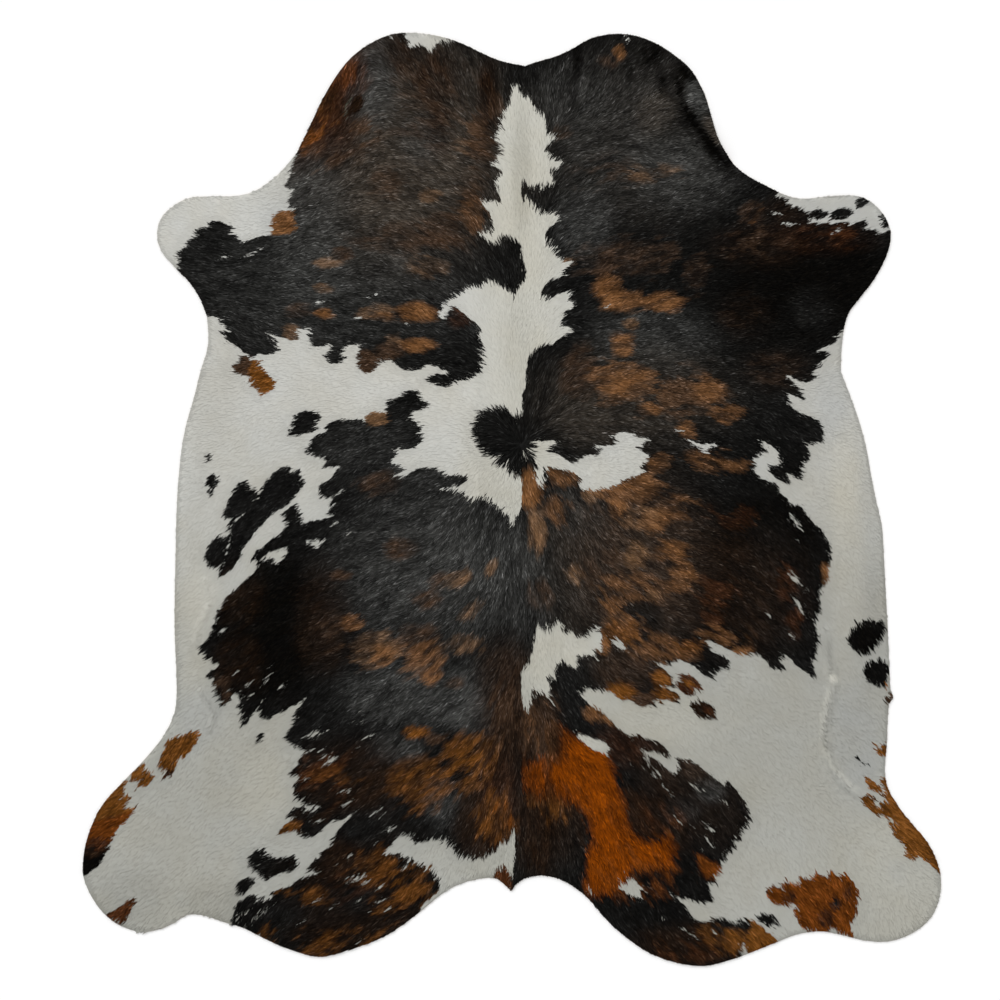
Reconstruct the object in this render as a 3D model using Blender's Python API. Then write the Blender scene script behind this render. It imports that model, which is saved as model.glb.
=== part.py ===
"""A cowhide laid out flat with its hair side up: one whole hide, trimmed along the animal's own outline.

The hide is one solid: tanned skin with the short coat combed flat on it. It rests on its skin side at
z = 0, with the neck at +Y and the tail at -Y, and it keeps the shallow creases that a hide has where
it once went round the neck, the flanks and the backbone.
"""

import math
from typing import NamedTuple

import bmesh
import bpy
from mathutils import Vector
from mathutils.geometry import delaunay_2d_cdt

# Driving dimensions, in metres.
HIDE_WIDTH = 1.972
SKIN_THICKNESS = 0.0024
COAT_THICKNESS = 0.0030
EDGE_FALL = 0.0045

# How closely the outline, the field inside it and the creases are divided, in metres.
RIM_STEP = 0.021
FIELD_STEP = 0.062
CREASE_STEP = 0.030
SPLINE_STEPS = 10
# How near two of those points may be, as a share of their step.
NEAREST_SHARE = 0.55
NEAREST_CREASE_SHARE = 0.40
# Corners nearer than this are one.
SAME_PLACE = 1e-6
SHARP_EDGE = math.radians(40)

COAT_COLOUR = (0.075, 0.062, 0.052, 1.0)
COAT_ROUGHNESS = 0.62

# The outline is surveyed on a plan of equal squares: across runs to +X and down runs to -Y.
PLAN_LEFT, PLAN_RIGHT = 83.0, 940.5
PLAN_TOP, PLAN_BOTTOM = 33.0, 965.8
SQUARE = HIDE_WIDTH / (PLAN_RIGHT - PLAN_LEFT)


class Stretch(NamedTuple):
    """A stretch of the outline: one smooth curve that ends in a corner."""

    name: str
    landmarks: tuple[tuple[float, float], ...]


class Crease(NamedTuple):
    """A raised crease: its crest line on the plan, how high it stands and how far it reaches to each side."""

    name: str
    rise: float
    reach: float
    crest: tuple[tuple[float, float], ...]


class Swell(NamedTuple):
    """A broad low rise, where the hide never lies quite flat."""

    name: str
    rise: float
    radius: float
    across: float
    down: float


OUTLINE = (
    Stretch("neck, left side", (
        (525, 66.5), (500, 61), (480, 52.5), (460, 43), (437, 36), (412, 33), (390, 35), (369, 44.5),
        (350, 59), (334, 80), (320, 105), (309, 129), (297, 153),
    )),
    Stretch("left foreleg", (
        (297, 153), (281, 172), (261, 188), (240, 195.6), (208, 196.6), (189, 198), (173, 206.5),
        (161, 218.5), (157, 236), (162, 252), (175, 267), (189, 281.5), (200, 298), (207.4, 317.5),
    )),
    Stretch("left flank", (
        (207.4, 317.5), (208.3, 345), (201, 370), (193.5, 400), (186.5, 424), (181, 455), (177.3, 500),
        (175.7, 556), (174.7, 625), (176.7, 675), (176.3, 704), (172, 720), (163, 737), (145, 759),
        (121, 784), (104, 803), (92.5, 824), (85.5, 846), (83, 867), (84.5, 879.5), (91, 895),
        (102, 911), (118, 924), (139, 931.5), (160, 929), (175, 922), (186, 914.5),
    )),
    Stretch("left rump", (
        (186, 914.5), (202, 914.5), (223, 921.6), (243, 927.5), (265, 938.5), (288, 948.5),
        (319, 956.6), (346, 950.5), (383, 937), (414.5, 916), (440, 895), (459, 884), (478, 878.8),
        (493, 877.5), (501, 881), (511, 890.8),
    )),
    Stretch("right rump", (
        (511, 890.8), (518, 882), (529, 876.8), (543, 875.2), (561, 879.5), (579, 890), (593, 903.5),
        (608, 921), (628, 938.5), (650, 953), (675, 962), (702, 965.8), (724, 961.5), (749, 953),
        (775, 942.5), (797, 934), (820, 931), (839, 934), (861, 939.5), (883, 941.6), (902, 937.5),
        (921, 927), (934, 912), (940, 893), (940.3, 876), (935, 857), (925, 839), (911, 823),
        (898, 806), (887.5, 788), (884.5, 770), (886.5, 745), (887.3, 722), (888.5, 704),
    )),
    Stretch("tuft on the right flank", (
        (888.5, 704), (892.5, 700.5), (892.8, 695.5), (890, 690),
    )),
    Stretch("right flank", (
        (890, 690), (889, 668), (888, 640), (886.3, 607), (883.6, 557), (881.7, 526), (876.5, 504),
        (871, 476), (866, 448), (858.5, 420), (849.5, 395), (840.7, 372),
    )),
    Stretch("right foreleg", (
        (840.7, 372), (841, 353), (843.4, 330.5), (848, 313.5), (858.6, 299), (874.5, 278.5),
        (886, 256), (890.6, 238), (888.5, 225), (880.5, 211), (870, 201.6), (857, 196), (838, 196),
        (815, 197.8), (802.5, 199), (786.5, 196), (769, 187.5), (749, 177), (733, 164),
        (719.5, 143), (713, 123), (706, 98.5), (699.5, 84), (690, 69), (671, 53), (651, 41.3),
        (630, 35), (611, 34.5), (590, 39), (571, 50), (552, 58), (537, 62), (525, 66.5),
    )),
)

CREASES = (
    Crease("roll beside the neck", 0.0130, 0.034, ((678, 72), (687, 92), (699, 118), (708, 138), (722, 155))),
    Crease("second roll of the neck", 0.0060, 0.040, ((652, 70), (664, 96), (674, 122), (688, 146))),
    Crease("right flank, upper", 0.0060, 0.026, ((818, 628), (827, 660), (832, 682), (827, 712))),
    Crease("right flank, lower", 0.0070, 0.026, ((826, 722), (824, 745), (835, 771), (846, 789), (858, 800))),
    Crease("left flank", 0.0060, 0.026, ((204, 520), (205, 570), (206, 620), (209, 690), (211, 722))),
    Crease("backbone, left of it", 0.0035, 0.036, ((497, 560), (494, 660), (490, 760), (492, 850))),
    Crease("backbone, right of it", 0.0035, 0.036, ((545, 545), (546, 640), (549, 740), (540, 840))),
)

SWELLS = (
    Swell("left of the neck", 0.0060, 0.16, 352, 112),
    Swell("left foreleg", 0.0040, 0.11, 205, 236),
    Swell("right foreleg", 0.0050, 0.12, 848, 236),
    Swell("left hind leg", 0.0050, 0.14, 128, 866),
    Swell("right hind leg", 0.0050, 0.14, 892, 886),
    Swell("right rump", 0.0040, 0.15, 690, 902),
)


def clear_scene() -> None:
    """Removes every object of the startup scene."""
    for obj in list(bpy.data.objects):
        bpy.data.objects.remove(obj, do_unlink=True)


def on_floor(across: float, down: float) -> Vector:
    """The point in metres of a place on the plan, with the hide's middle at the origin."""
    middle_across = (PLAN_LEFT + PLAN_RIGHT) / 2
    middle_down = (PLAN_TOP + PLAN_BOTTOM) / 2
    return Vector(((across - middle_across) * SQUARE, (middle_down - down) * SQUARE))


def smooth_curve(points: list[Vector]) -> list[Vector]:
    """Points along the Catmull-Rom curve that passes through these points, first and last included."""
    before = 2 * points[0] - points[1]
    after = 2 * points[-1] - points[-2]
    knots = [before, *points, after]
    curve = []
    for p0, p1, p2, p3 in zip(knots, knots[1:], knots[2:], knots[3:]):
        for step in range(SPLINE_STEPS):
            t = step / SPLINE_STEPS
            curve.append(0.5 * (
                2 * p1
                + (p2 - p0) * t
                + (2 * p0 - 5 * p1 + 4 * p2 - p3) * t ** 2
                + (3 * p1 - p0 - 3 * p2 + p3) * t ** 3
            ))
    curve.append(points[-1])
    return curve


def evenly_spaced(line: list[Vector], step: float) -> list[Vector]:
    """Points along a line at about this step, its first and last points included."""
    lengths = [0.0]
    for start, end in zip(line, line[1:]):
        lengths.append(lengths[-1] + (end - start).length)
    count = max(1, round(lengths[-1] / step))
    spaced = []
    segment = 0
    for index in range(count):
        wanted = lengths[-1] * index / count
        while lengths[segment + 1] < wanted:
            segment += 1
        share = (wanted - lengths[segment]) / (lengths[segment + 1] - lengths[segment])
        spaced.append(line[segment].lerp(line[segment + 1], share))
    spaced.append(line[-1])
    return spaced


def hide_outline() -> list[Vector]:
    """The outline as one closed loop of points, without the first repeated at the end."""
    loop = []
    for stretch in OUTLINE:
        corners = [on_floor(*landmark) for landmark in stretch.landmarks]
        loop += evenly_spaced(smooth_curve(corners), RIM_STEP)[:-1]
    return loop


def drawn_in(loop: list[Vector], distance: float) -> list[Vector]:
    """The loop moved inwards by this distance, with as many points. The loop runs anticlockwise."""
    moved = []
    for index, point in enumerate(loop):
        along = (loop[(index + 1) % len(loop)] - loop[index - 1]).normalized()
        moved.append(point + Vector((-along.y, along.x)) * distance)
    return moved


def distance_to_line(point: Vector, line: list[Vector]) -> float:
    """The shortest distance from the point to a line of straight pieces."""
    nearest = math.inf
    for start, end in zip(line, line[1:]):
        piece = end - start
        share = (point - start).dot(piece) / piece.length_squared
        share = min(1.0, max(0.0, share))
        nearest = min(nearest, (point - start - piece * share).length)
    return nearest


def inside(point: Vector, loop: list[Vector]) -> bool:
    """Whether the loop goes round the point."""
    crossings = 0
    for start, end in zip(loop, loop[1:] + loop[:1]):
        if (start.y > point.y) == (end.y > point.y):
            continue
        if start.x + (point.y - start.y) * (end.x - start.x) / (end.y - start.y) > point.x:
            crossings += 1
    return crossings % 2 == 1


def crest_line(crease: Crease) -> list[Vector]:
    """The crease's crest in metres, as a smooth line."""
    return smooth_curve([on_floor(*place) for place in crease.crest])


def bump(distance: float, reach: float) -> float:
    """A rounded rise from 0 at the reach to 1 in the middle."""
    if distance >= reach:
        return 0.0
    return 0.5 + 0.5 * math.cos(math.pi * distance / reach)


def crease_points() -> list[Vector]:
    """Points along each crease's crest and its two sides, so that the faces follow it."""
    points = []
    for crease in CREASES:
        crest = evenly_spaced(crest_line(crease), CREASE_STEP)
        for index, point in enumerate(crest):
            along = (crest[min(index + 1, len(crest) - 1)] - crest[max(index - 1, 0)]).normalized()
            across = Vector((-along.y, along.x)) * crease.reach
            points += [point + across * share for share in (-1.0, -0.5, 0.0, 0.5, 1.0)]
    return points


def field_points(loop: list[Vector]) -> list[Vector]:
    """Points inside the outline: those of the creases, and a triangular field of them elsewhere."""
    rim = loop + loop[:1]
    clear_of_points = NEAREST_SHARE * FIELD_STEP
    kept = []
    for point in crease_points():
        if not inside(point, loop) or distance_to_line(point, rim) < NEAREST_SHARE * RIM_STEP:
            continue
        if all((point - other).length > NEAREST_CREASE_SHARE * CREASE_STEP for other in kept):
            kept.append(point)
    creased = list(kept)
    row_height = FIELD_STEP * math.sqrt(3) / 2
    half_length = (PLAN_BOTTOM - PLAN_TOP) / 2 * SQUARE
    rows = math.ceil(half_length / row_height)
    columns = math.ceil(HIDE_WIDTH / 2 / FIELD_STEP)
    for row in range(-rows, rows + 1):
        for column in range(-columns, columns + 1):
            point = Vector(((column + 0.5 * (row % 2)) * FIELD_STEP, row * row_height))
            if not inside(point, loop) or distance_to_line(point, rim) < clear_of_points:
                continue
            if all((point - other).length > clear_of_points for other in creased):
                kept.append(point)
    return kept


def lift(point: Vector) -> float:
    """How far the hide stands off the floor here."""
    height = 0.0
    for swell in SWELLS:
        height += swell.rise * bump((point - on_floor(swell.across, swell.down)).length, swell.radius)
    for crease in CREASES:
        height += crease.rise * bump(distance_to_line(point, crest_line(crease)), crease.reach)
    return height


def hide_mesh() -> bpy.types.Mesh:
    """The hide's closed mesh: a cut edge as high as the skin, then the coat, which falls to the edge."""
    rim = hide_outline()
    coat_edge = drawn_in(rim, EDGE_FALL)
    places = rim + coat_edge + field_points(coat_edge)
    edges = []
    for first in (0, len(rim)):
        numbers = list(range(first, first + len(rim)))
        edges += list(zip(numbers, numbers[1:] + numbers[:1]))
    flat, _, faces, origins, _, _ = delaunay_2d_cdt(places, edges, [], 1, SAME_PLACE)

    mesh = bmesh.new()
    cut_edge = mesh.verts.layers.int.new("cut edge")
    corners = [mesh.verts.new((place.x, place.y, lift(place))) for place in flat]
    for face in faces:
        mesh.faces.new([corners[corner] for corner in face])
    for corner, sources in zip(corners, origins):
        corner[cut_edge] = any(source < len(rim) for source in sources)

    raised = bmesh.ops.extrude_face_region(mesh, geom=list(mesh.faces), use_keep_orig=True)["geom"]
    for corner in raised:
        if isinstance(corner, bmesh.types.BMVert):
            corner.co.z += SKIN_THICKNESS if corner[cut_edge] else SKIN_THICKNESS + COAT_THICKNESS
    bmesh.ops.recalc_face_normals(mesh, faces=mesh.faces)

    data = bpy.data.meshes.new("hide")
    mesh.to_mesh(data)
    mesh.free()
    return data


def coat_material() -> bpy.types.Material:
    """The hide's finish: a dark glossy coat."""
    material = bpy.data.materials.new("cowhide coat")
    material.use_nodes = True
    shader = material.node_tree.nodes["Principled BSDF"]
    shader.inputs["Base Color"].default_value = COAT_COLOUR
    shader.inputs["Roughness"].default_value = COAT_ROUGHNESS
    shader.inputs["Metallic"].default_value = 0.0
    return material


def main() -> None:
    """Builds the hide as one object at the origin."""
    clear_scene()
    hide = bpy.data.objects.new("hide", hide_mesh())
    hide.data.materials.append(coat_material())
    hide.data.shade_smooth()
    hide.data.set_sharp_from_angle(angle=SHARP_EDGE)
    bpy.context.scene.collection.objects.link(hide)


main()
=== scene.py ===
"""A whole cowhide laid out flat as a rug, hair side up: tanned skin and a short combed coat of black, rust
and brown brindle on off-white, under soft even light on a pale floor.

The coat is drawn on a plan of equal squares, across to +X and down to -Y: its patches, its warmer tones
and the way that its hair lies. Each lock of hair looks up its own colour and direction there.
"""

from __future__ import annotations

import logging
import math
from dataclasses import dataclass, field
from enum import Enum
from typing import NamedTuple, Sequence, Union

import bmesh
import bpy
import numpy as np
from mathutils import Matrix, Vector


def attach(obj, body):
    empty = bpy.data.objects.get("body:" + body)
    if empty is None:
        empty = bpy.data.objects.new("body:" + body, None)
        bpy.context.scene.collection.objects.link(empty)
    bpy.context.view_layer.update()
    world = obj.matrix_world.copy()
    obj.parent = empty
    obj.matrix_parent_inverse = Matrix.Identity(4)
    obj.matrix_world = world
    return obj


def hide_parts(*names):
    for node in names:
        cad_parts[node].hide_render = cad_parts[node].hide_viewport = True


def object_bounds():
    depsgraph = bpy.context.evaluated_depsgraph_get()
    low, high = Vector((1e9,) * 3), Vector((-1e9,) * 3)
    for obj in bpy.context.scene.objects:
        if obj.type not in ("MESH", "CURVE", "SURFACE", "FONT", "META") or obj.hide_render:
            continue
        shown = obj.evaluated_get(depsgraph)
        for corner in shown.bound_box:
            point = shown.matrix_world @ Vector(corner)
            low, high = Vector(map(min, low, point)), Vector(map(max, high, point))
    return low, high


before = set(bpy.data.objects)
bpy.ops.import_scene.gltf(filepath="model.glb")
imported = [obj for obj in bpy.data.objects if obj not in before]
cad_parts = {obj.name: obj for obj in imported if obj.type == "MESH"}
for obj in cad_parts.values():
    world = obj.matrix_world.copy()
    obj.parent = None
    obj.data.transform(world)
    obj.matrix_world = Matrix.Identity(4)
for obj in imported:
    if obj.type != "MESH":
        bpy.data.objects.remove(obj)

CAD_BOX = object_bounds()
LOG = logging.getLogger("cowhide")

# The plan that the coat and the creases are drawn on, in squares, and the size of a square in metres.
PLAN_LEFT, PLAN_RIGHT = 83.0, 940.5
PLAN_TOP, PLAN_BOTTOM = 33.0, 965.8
HIDE_WIDTH = 1.972
SQUARE = HIDE_WIDTH / (PLAN_RIGHT - PLAN_LEFT)
MIDDLE = np.array(((PLAN_LEFT + PLAN_RIGHT) / 2, (PLAN_TOP + PLAN_BOTTOM) / 2))
# How many squares the whole plan has each way.
PLAN_SPAN = 1000

SKIN_THICKNESS = 0.0024
MM = 0.001

# The attribute that carries the coat's colours.
COAT = "coat"
# A face lies level where its normal's height is more than this.
LEVEL = 0.5


def to_floor(places: np.ndarray) -> np.ndarray:
    """The points in metres, as rows of x and y, of places on the plan."""
    return (places - MIDDLE) * (SQUARE, -SQUARE)


def to_plan(points: np.ndarray) -> np.ndarray:
    """The places on the plan of points in metres, as rows of across and down."""
    return points[:, :2] / (SQUARE, -SQUARE) + MIDDLE


class Hair(Enum):
    """A colour in the coat, the hair's own or painted sheen and shade: the shares of red, green and blue
    light that it gives back.
    """

    WHITE = (0.612, 0.603, 0.540)
    CREAM = (0.590, 0.565, 0.475)
    SLATE = (0.300, 0.325, 0.350)
    FAWN = (0.120, 0.115, 0.085)
    BLACK = (0.0072, 0.0071, 0.0064)
    # Deep black: the hair's own, and painted shade in the folds of the neck.
    INK_AND_FOLD_SHADE = (0.0017, 0.0013, 0.0008)
    # Painted sheen, grey and grey-brown, where the black hair catches the light.
    GREY_SHEEN = (0.060, 0.060, 0.056)
    DUN_SHEEN = (0.088, 0.069, 0.051)
    UMBER = (0.0170, 0.0078, 0.0034)
    BROWN = (0.056, 0.030, 0.016)
    CHESTNUT = (0.062, 0.020, 0.006)
    COPPER = (0.122, 0.033, 0.004)
    TAN = (0.182, 0.098, 0.047)
    RUST = (0.195, 0.086, 0.030)
    GINGER = (0.146, 0.053, 0.0085)
    EMBER = (0.205, 0.043, 0.0006)


# Dark hair that shades off into the dark hair round it, and how far it does, in squares. The ember comes
# under the brindle and the others over it, in this order.
SHADING_OFF = {
    Hair.EMBER: 9.0, Hair.UMBER: 3.0, Hair.CHESTNUT: 4.5, Hair.COPPER: 4.0, Hair.BROWN: 4.0, Hair.TAN: 4.0,
    Hair.RUST: 2.5, Hair.GINGER: 3.0,
}


class Patch(NamedTuple):
    """A patch of the coat: its hair and its outline on the plan, as across and down by turns."""

    name: str
    hair: Hair
    outline: tuple[float, ...]


class Lick(NamedTuple):
    """A thin lick of hair, or of painted shade, between two places on the plan, and how wide it is at its
    middle.
    """

    hair: Hair
    start: tuple[float, float]
    end: tuple[float, float]
    width: float


class Tone(NamedTuple):
    """A tinge in the coat: its hair, the box on the plan that it fills, its strength and its turn."""

    hair: Hair
    left: float
    top: float
    right: float
    bottom: float
    strength: float
    turn: float = 0.0


class Lie(NamedTuple):
    """Which way the hair lies at a place: 0 points to +X, 90 to -Y, 180 to -X and 270 to +Y."""

    across: float
    down: float
    turn: float


class Crease(NamedTuple):
    """A raised crease: how high it stands, how far it reaches to each side, and its crest on the plan."""

    name: str
    rise: float
    reach: float
    crest: tuple[float, ...]


class Swell(NamedTuple):
    """A broad low rise, where the hide never lies quite flat."""

    name: str
    rise: float
    radius: float
    across: float
    down: float


def licks(hair: Hair, *lines: tuple[float, ...]) -> list[Lick]:
    """Licks of one hair, each given as its start, its end and its width."""
    return [Lick(hair, line[:2], line[2:4], line[4]) for line in lines]


def tones(hair: Hair, *boxes: tuple[float, ...]) -> list[Tone]:
    """Tones of one hair, each given as its box, its strength and, where it is turned, its turn."""
    return [Tone(hair, *box) for box in boxes]


# The patches, later ones over earlier ones, with the large ones first. Where one reaches the rim, its
# outline runs on outside the hide.
PATCHES = (
    Patch("neck and left shoulder", Hair.BLACK, (
        513, 83, 513, 15, 290, 15, 240, 80, 270, 142, 296, 154, 293, 162, 290, 167, 289, 173, 286.7, 182,
        285.6, 184, 286.7, 188, 295, 190, 290, 194, 289, 199.5, 286, 206, 294, 209, 294, 233, 273, 236,
        270, 235.5, 261, 236, 250, 240, 242, 243, 240, 241, 234, 235, 227, 235, 231, 227.5, 224, 223,
        216, 221, 207, 223.5, 206.6, 227, 202, 227, 194, 230, 193, 236, 187, 241, 184, 247.5, 178, 251,
        176, 255, 178, 260, 180, 262, 179, 267, 168, 269, 168, 295, 190, 317, 207, 316, 216, 317,
        219, 320, 224, 326.5, 230.6, 332, 219, 331, 229, 341, 240, 349, 248, 356, 253, 358, 256, 354.5,
        269, 355, 275.5, 351, 276, 345, 271, 337, 264, 332, 272, 334.5, 280, 337, 290, 340, 295.5, 340,
        297, 335, 295.5, 330.5, 300, 329, 312, 326.5, 308, 334, 310, 343, 313, 346.5, 321, 346,
        330, 342.5, 330, 348, 331, 350.5, 325, 355, 326, 361, 333, 364, 339, 362.6, 342.5, 357, 340, 353,
        345, 345, 354.5, 344, 361, 347.6, 357, 352, 358, 359, 358.5, 367, 362, 373, 370.5, 373, 376, 367,
        378.5, 361, 390, 360, 394.6, 364, 401, 370, 410.6, 371, 418.6, 369, 428, 365, 439, 367,
        445, 370.6, 444, 374, 434, 374, 426.6, 378.6, 428, 382.6, 441, 386.6, 450.6, 386.6, 455, 380,
        468, 378.6, 480, 372, 481, 358, 481, 345, 478, 332, 480, 327, 470, 319, 460, 310.5, 452, 306,
        441, 302.5, 450.6, 298, 454, 293.6, 462, 290, 468, 285.6, 479.5, 285.6, 488, 280, 494, 281.6,
        502, 286, 510, 291, 515, 292, 520, 285.6, 524, 279, 526, 270, 524, 265, 523, 257, 520, 247.6,
        516, 239.5, 510, 236, 500, 236, 495.5, 244, 491, 243, 483, 236, 475, 233, 492, 228, 491.5, 220,
        489, 212, 484, 206, 479.5, 200, 498, 200, 500, 196, 496, 188, 495, 179, 501, 169, 491, 166,
        495.5, 161, 499, 151, 499.5, 142, 491.5, 140, 495, 134, 498, 127, 499.5, 119, 502, 114.5,
        507, 106.5, 508, 98.5,
    )),
    Patch("right shoulder, back and rump", Hair.BLACK, (
        513, 15, 513, 83, 520, 87, 523, 92, 530, 98.5, 536, 106.5, 544, 114.5, 546, 124, 547, 131,
        558, 136, 550, 143, 544, 150, 552, 156, 562.5, 161, 562.5, 167, 549, 170, 554, 177, 554.5, 184,
        544, 186, 536, 186, 522, 180, 521, 190, 522, 196, 530, 199.5, 538, 207.5, 546, 212, 558.5, 214,
        562, 220, 550, 226, 544, 236, 550, 243, 558.5, 251, 562, 259, 574.5, 262, 565, 268, 562.5, 275.6,
        568, 275, 562, 277.6, 550, 280, 544, 286, 540, 294, 550, 299, 558.5, 294, 571, 289, 570, 298,
        575, 306, 566, 313, 562, 322.5, 575, 331, 563, 337, 554, 344, 540, 345, 533, 351, 528, 359,
        526, 371, 526, 383, 523, 396, 522, 411, 520, 412, 513, 414, 508, 409, 502, 405, 491, 406,
        483, 409, 478, 412, 473, 422, 472, 435, 476, 446, 482, 454, 491, 457, 499, 465, 507, 473,
        515, 477, 521, 477, 522, 490, 521.6, 502, 519, 517, 509.5, 528, 507, 515.6, 499, 510, 491, 503,
        479.5, 499, 467, 500, 460, 493, 433, 487, 449, 487.6, 460, 486, 468, 481, 460, 476, 449, 476,
        438, 471, 428, 467.5, 418, 467, 412, 472, 402.6, 478, 393, 476, 402.6, 471.5, 398, 467.5,
        388, 463.5, 396, 454, 390, 448, 401, 450, 410.6, 449, 418.6, 444, 420, 435, 418.6, 425,
        410.6, 418.6, 410.6, 410.6, 421, 410, 427, 404, 420, 399, 419, 393, 412, 390, 406, 391,
        396, 398.6, 386.5, 400, 385, 410, 386.5, 414, 373, 412, 364, 417, 364, 423, 356, 419, 348, 422,
        341, 419, 330, 423, 324, 428, 325.6, 433, 316, 435.5, 310, 440, 306, 449, 308, 454, 317.6, 457,
        325, 461, 325, 467, 337, 467.5, 334, 475, 329, 481, 321, 484, 318, 492, 321, 497, 330, 498,
        332, 499, 330, 508, 329, 513, 332, 518, 320, 519, 310, 522, 301, 525, 299, 515, 294, 504,
        281, 514, 284, 520, 286, 526, 282, 532, 276, 537, 270, 541, 262, 548, 254, 552, 251, 560,
        257, 561, 257, 570, 250, 577, 243, 582, 236, 590, 229, 594, 224, 602, 220, 608, 217, 615,
        213, 630, 210, 636, 203, 644, 197, 649, 203, 656, 209, 661, 216, 664, 218, 668, 210, 671,
        206, 676, 212, 680, 213, 688, 215, 695, 218, 700, 222, 706, 228, 703, 231, 697, 237, 692,
        238, 700, 238, 708, 241, 715, 243, 727, 248, 722, 252, 714, 256, 709, 262, 716, 267, 722,
        272, 716, 278, 714, 286, 711, 295, 705, 303, 699, 296, 712, 293, 722, 288, 730, 286, 740,
        290, 744, 300, 748, 303, 752, 296, 765, 290, 773, 298, 778, 294, 786, 292, 795, 300, 800,
        307, 806, 320, 806, 317, 811, 305, 812, 300, 808, 291, 810, 287, 817, 293, 820, 284, 825,
        275, 832, 284, 834, 296, 831, 304, 837, 311, 837, 320, 832, 325, 826, 333, 820, 343, 820,
        347, 815, 355, 812, 350, 818, 344, 824, 338, 830, 334, 835, 332, 840, 329, 848, 320, 852,
        319, 858, 311, 863, 309, 870, 318, 872, 319, 875, 308, 877, 297, 880, 290, 887, 279, 889,
        271, 893, 272, 898, 268, 902, 252, 897, 237, 902, 234, 910, 231, 923, 228, 940, 290, 975,
        325, 980, 395, 955, 424, 924, 418, 908, 425, 902, 435, 895, 440, 886, 434, 875, 428, 870,
        415, 867, 406, 861, 398, 857, 386, 856, 383, 850, 390, 846, 396, 838, 400, 835, 410, 836,
        418, 844, 424, 843, 432, 838, 440, 837, 447, 842, 452, 845, 455, 852, 460, 857, 470, 859,
        484, 858, 492, 854, 498, 847, 506, 843, 510, 838, 513, 830, 515, 825, 515, 840, 515, 860,
        513, 875, 511, 880, 511, 900, 550, 895, 590, 925, 640, 970, 702, 985, 735, 975, 745, 940,
        750, 930, 755, 922, 745, 922, 733, 924, 722, 919, 705, 922, 693, 920, 690, 912, 685, 905,
        672, 898, 680, 897, 688, 898, 695, 901, 705, 904, 714, 902, 711, 898, 710, 890, 709, 884,
        716, 880, 721, 872, 722, 865, 735, 845, 751, 820, 749, 809, 746, 803, 741, 797, 736, 790,
        731, 783, 725, 786, 721, 784, 714, 778, 706, 772, 700, 766, 690, 762, 678, 760, 680, 768,
        675, 777, 668, 770, 660, 763, 650, 757, 640, 750, 655, 752, 664, 757, 671, 756, 667, 748,
        660, 743, 652, 741, 645, 738, 630, 737, 623, 732, 616, 727, 611, 721, 604, 714, 597, 710,
        590, 705, 581, 697, 585, 688, 595, 691, 603, 692, 610, 690, 615, 695, 622, 700, 632, 700,
        638, 705, 650, 707, 656, 702, 665, 699, 675, 702, 680, 697, 675, 692, 668, 690, 660, 688,
        675, 686, 668, 672, 655, 663, 665, 665, 680, 660, 690, 664, 697, 668, 704, 675, 711, 678,
        716, 674, 721, 668, 729, 669, 731, 663, 725, 657, 717, 655, 712, 650, 707, 643, 702, 639,
        712, 641, 725, 648, 740, 655, 750, 654, 760, 655, 767, 662, 770, 668, 778, 670, 784, 670,
        783, 665, 779, 660, 785, 655, 793, 660, 798, 668, 805, 672, 812, 677, 817, 675, 814, 670,
        812, 662, 818, 658, 817, 650, 820, 643, 818, 635, 815, 625, 817, 617, 821, 612, 820, 598,
        822, 587, 829, 583, 829, 570, 831, 560, 832, 550, 827, 540, 822, 530, 815, 525, 808, 517,
        803, 508, 799, 505, 791, 507, 788, 499, 778.5, 492, 777, 483.5, 770, 483, 761, 478, 754, 471.5,
        756, 465, 753, 459, 766, 451, 759, 439.5, 772, 446, 778.5, 452, 783, 463.5, 770, 467, 772, 475,
        778.5, 479.5, 786.5, 485, 791, 482, 788, 475, 799, 479.5, 804, 476, 803, 471.5, 804, 463.5,
        810, 459, 810.5, 452, 806.5, 446, 812, 443.5, 823, 443.5, 825, 436, 823, 428, 819, 420, 815, 419,
        804, 415, 794.5, 410, 790, 406, 790, 395, 794.5, 395, 802, 400, 805, 399, 802.5, 393, 799, 387,
        785, 375, 791, 377, 800, 380, 804, 383, 814.5, 379, 814.5, 371, 818.5, 368, 820, 362.6,
        830.5, 355, 831, 350.5, 817, 351, 830, 344, 838, 342.5, 838, 335, 842.6, 331, 860, 322, 905, 270,
        905, 231, 890, 230, 879, 234, 879, 231, 865, 228, 866.6, 225, 865, 220, 857, 223, 851, 226,
        847, 223.5, 823, 223.5, 810.5, 223, 810.5, 219, 810, 214, 806, 210, 796, 207.5, 786.5, 203.5,
        792, 200, 786.5, 199, 774.5, 197, 778, 192, 790, 182, 748, 150, 730, 105, 712, 60, 660, 18,
        600, 10,
    )),
    Patch("white on the neck", Hair.WHITE, (
        404, 22, 404, 33, 405, 38, 409, 40, 408, 46, 411, 48.5, 415, 44, 419, 44, 427, 48, 426, 52,
        431, 51, 435, 44, 440, 42, 452, 41, 456, 22,
    )),
    Patch("white nick in the left shoulder", Hair.WHITE, (
        441, 303, 449, 306, 447, 314, 440, 320, 437, 313,
    )),
    Patch("white swirl on the right of the back", Hair.WHITE, (
        612, 438, 616, 435, 624, 432, 632, 433, 639, 438, 650, 438, 648, 444, 640, 449, 650, 455.5,
        647, 463.5, 640, 468, 647, 472, 639, 476, 626, 481, 615, 487.6, 600, 491, 589, 492, 579, 487.6,
        581, 478, 571, 471.5, 560, 470, 550, 467, 546, 473, 544, 481, 541, 489, 534, 479.5, 538, 468,
        534, 457, 537, 444, 536, 438, 544, 441, 560, 441, 550, 451, 563, 457, 571, 463, 584, 458,
        594, 449, 600, 445, 611, 446, 619, 441,
    )),
    Patch("white nick above the barrel", Hair.WHITE, (
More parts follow.
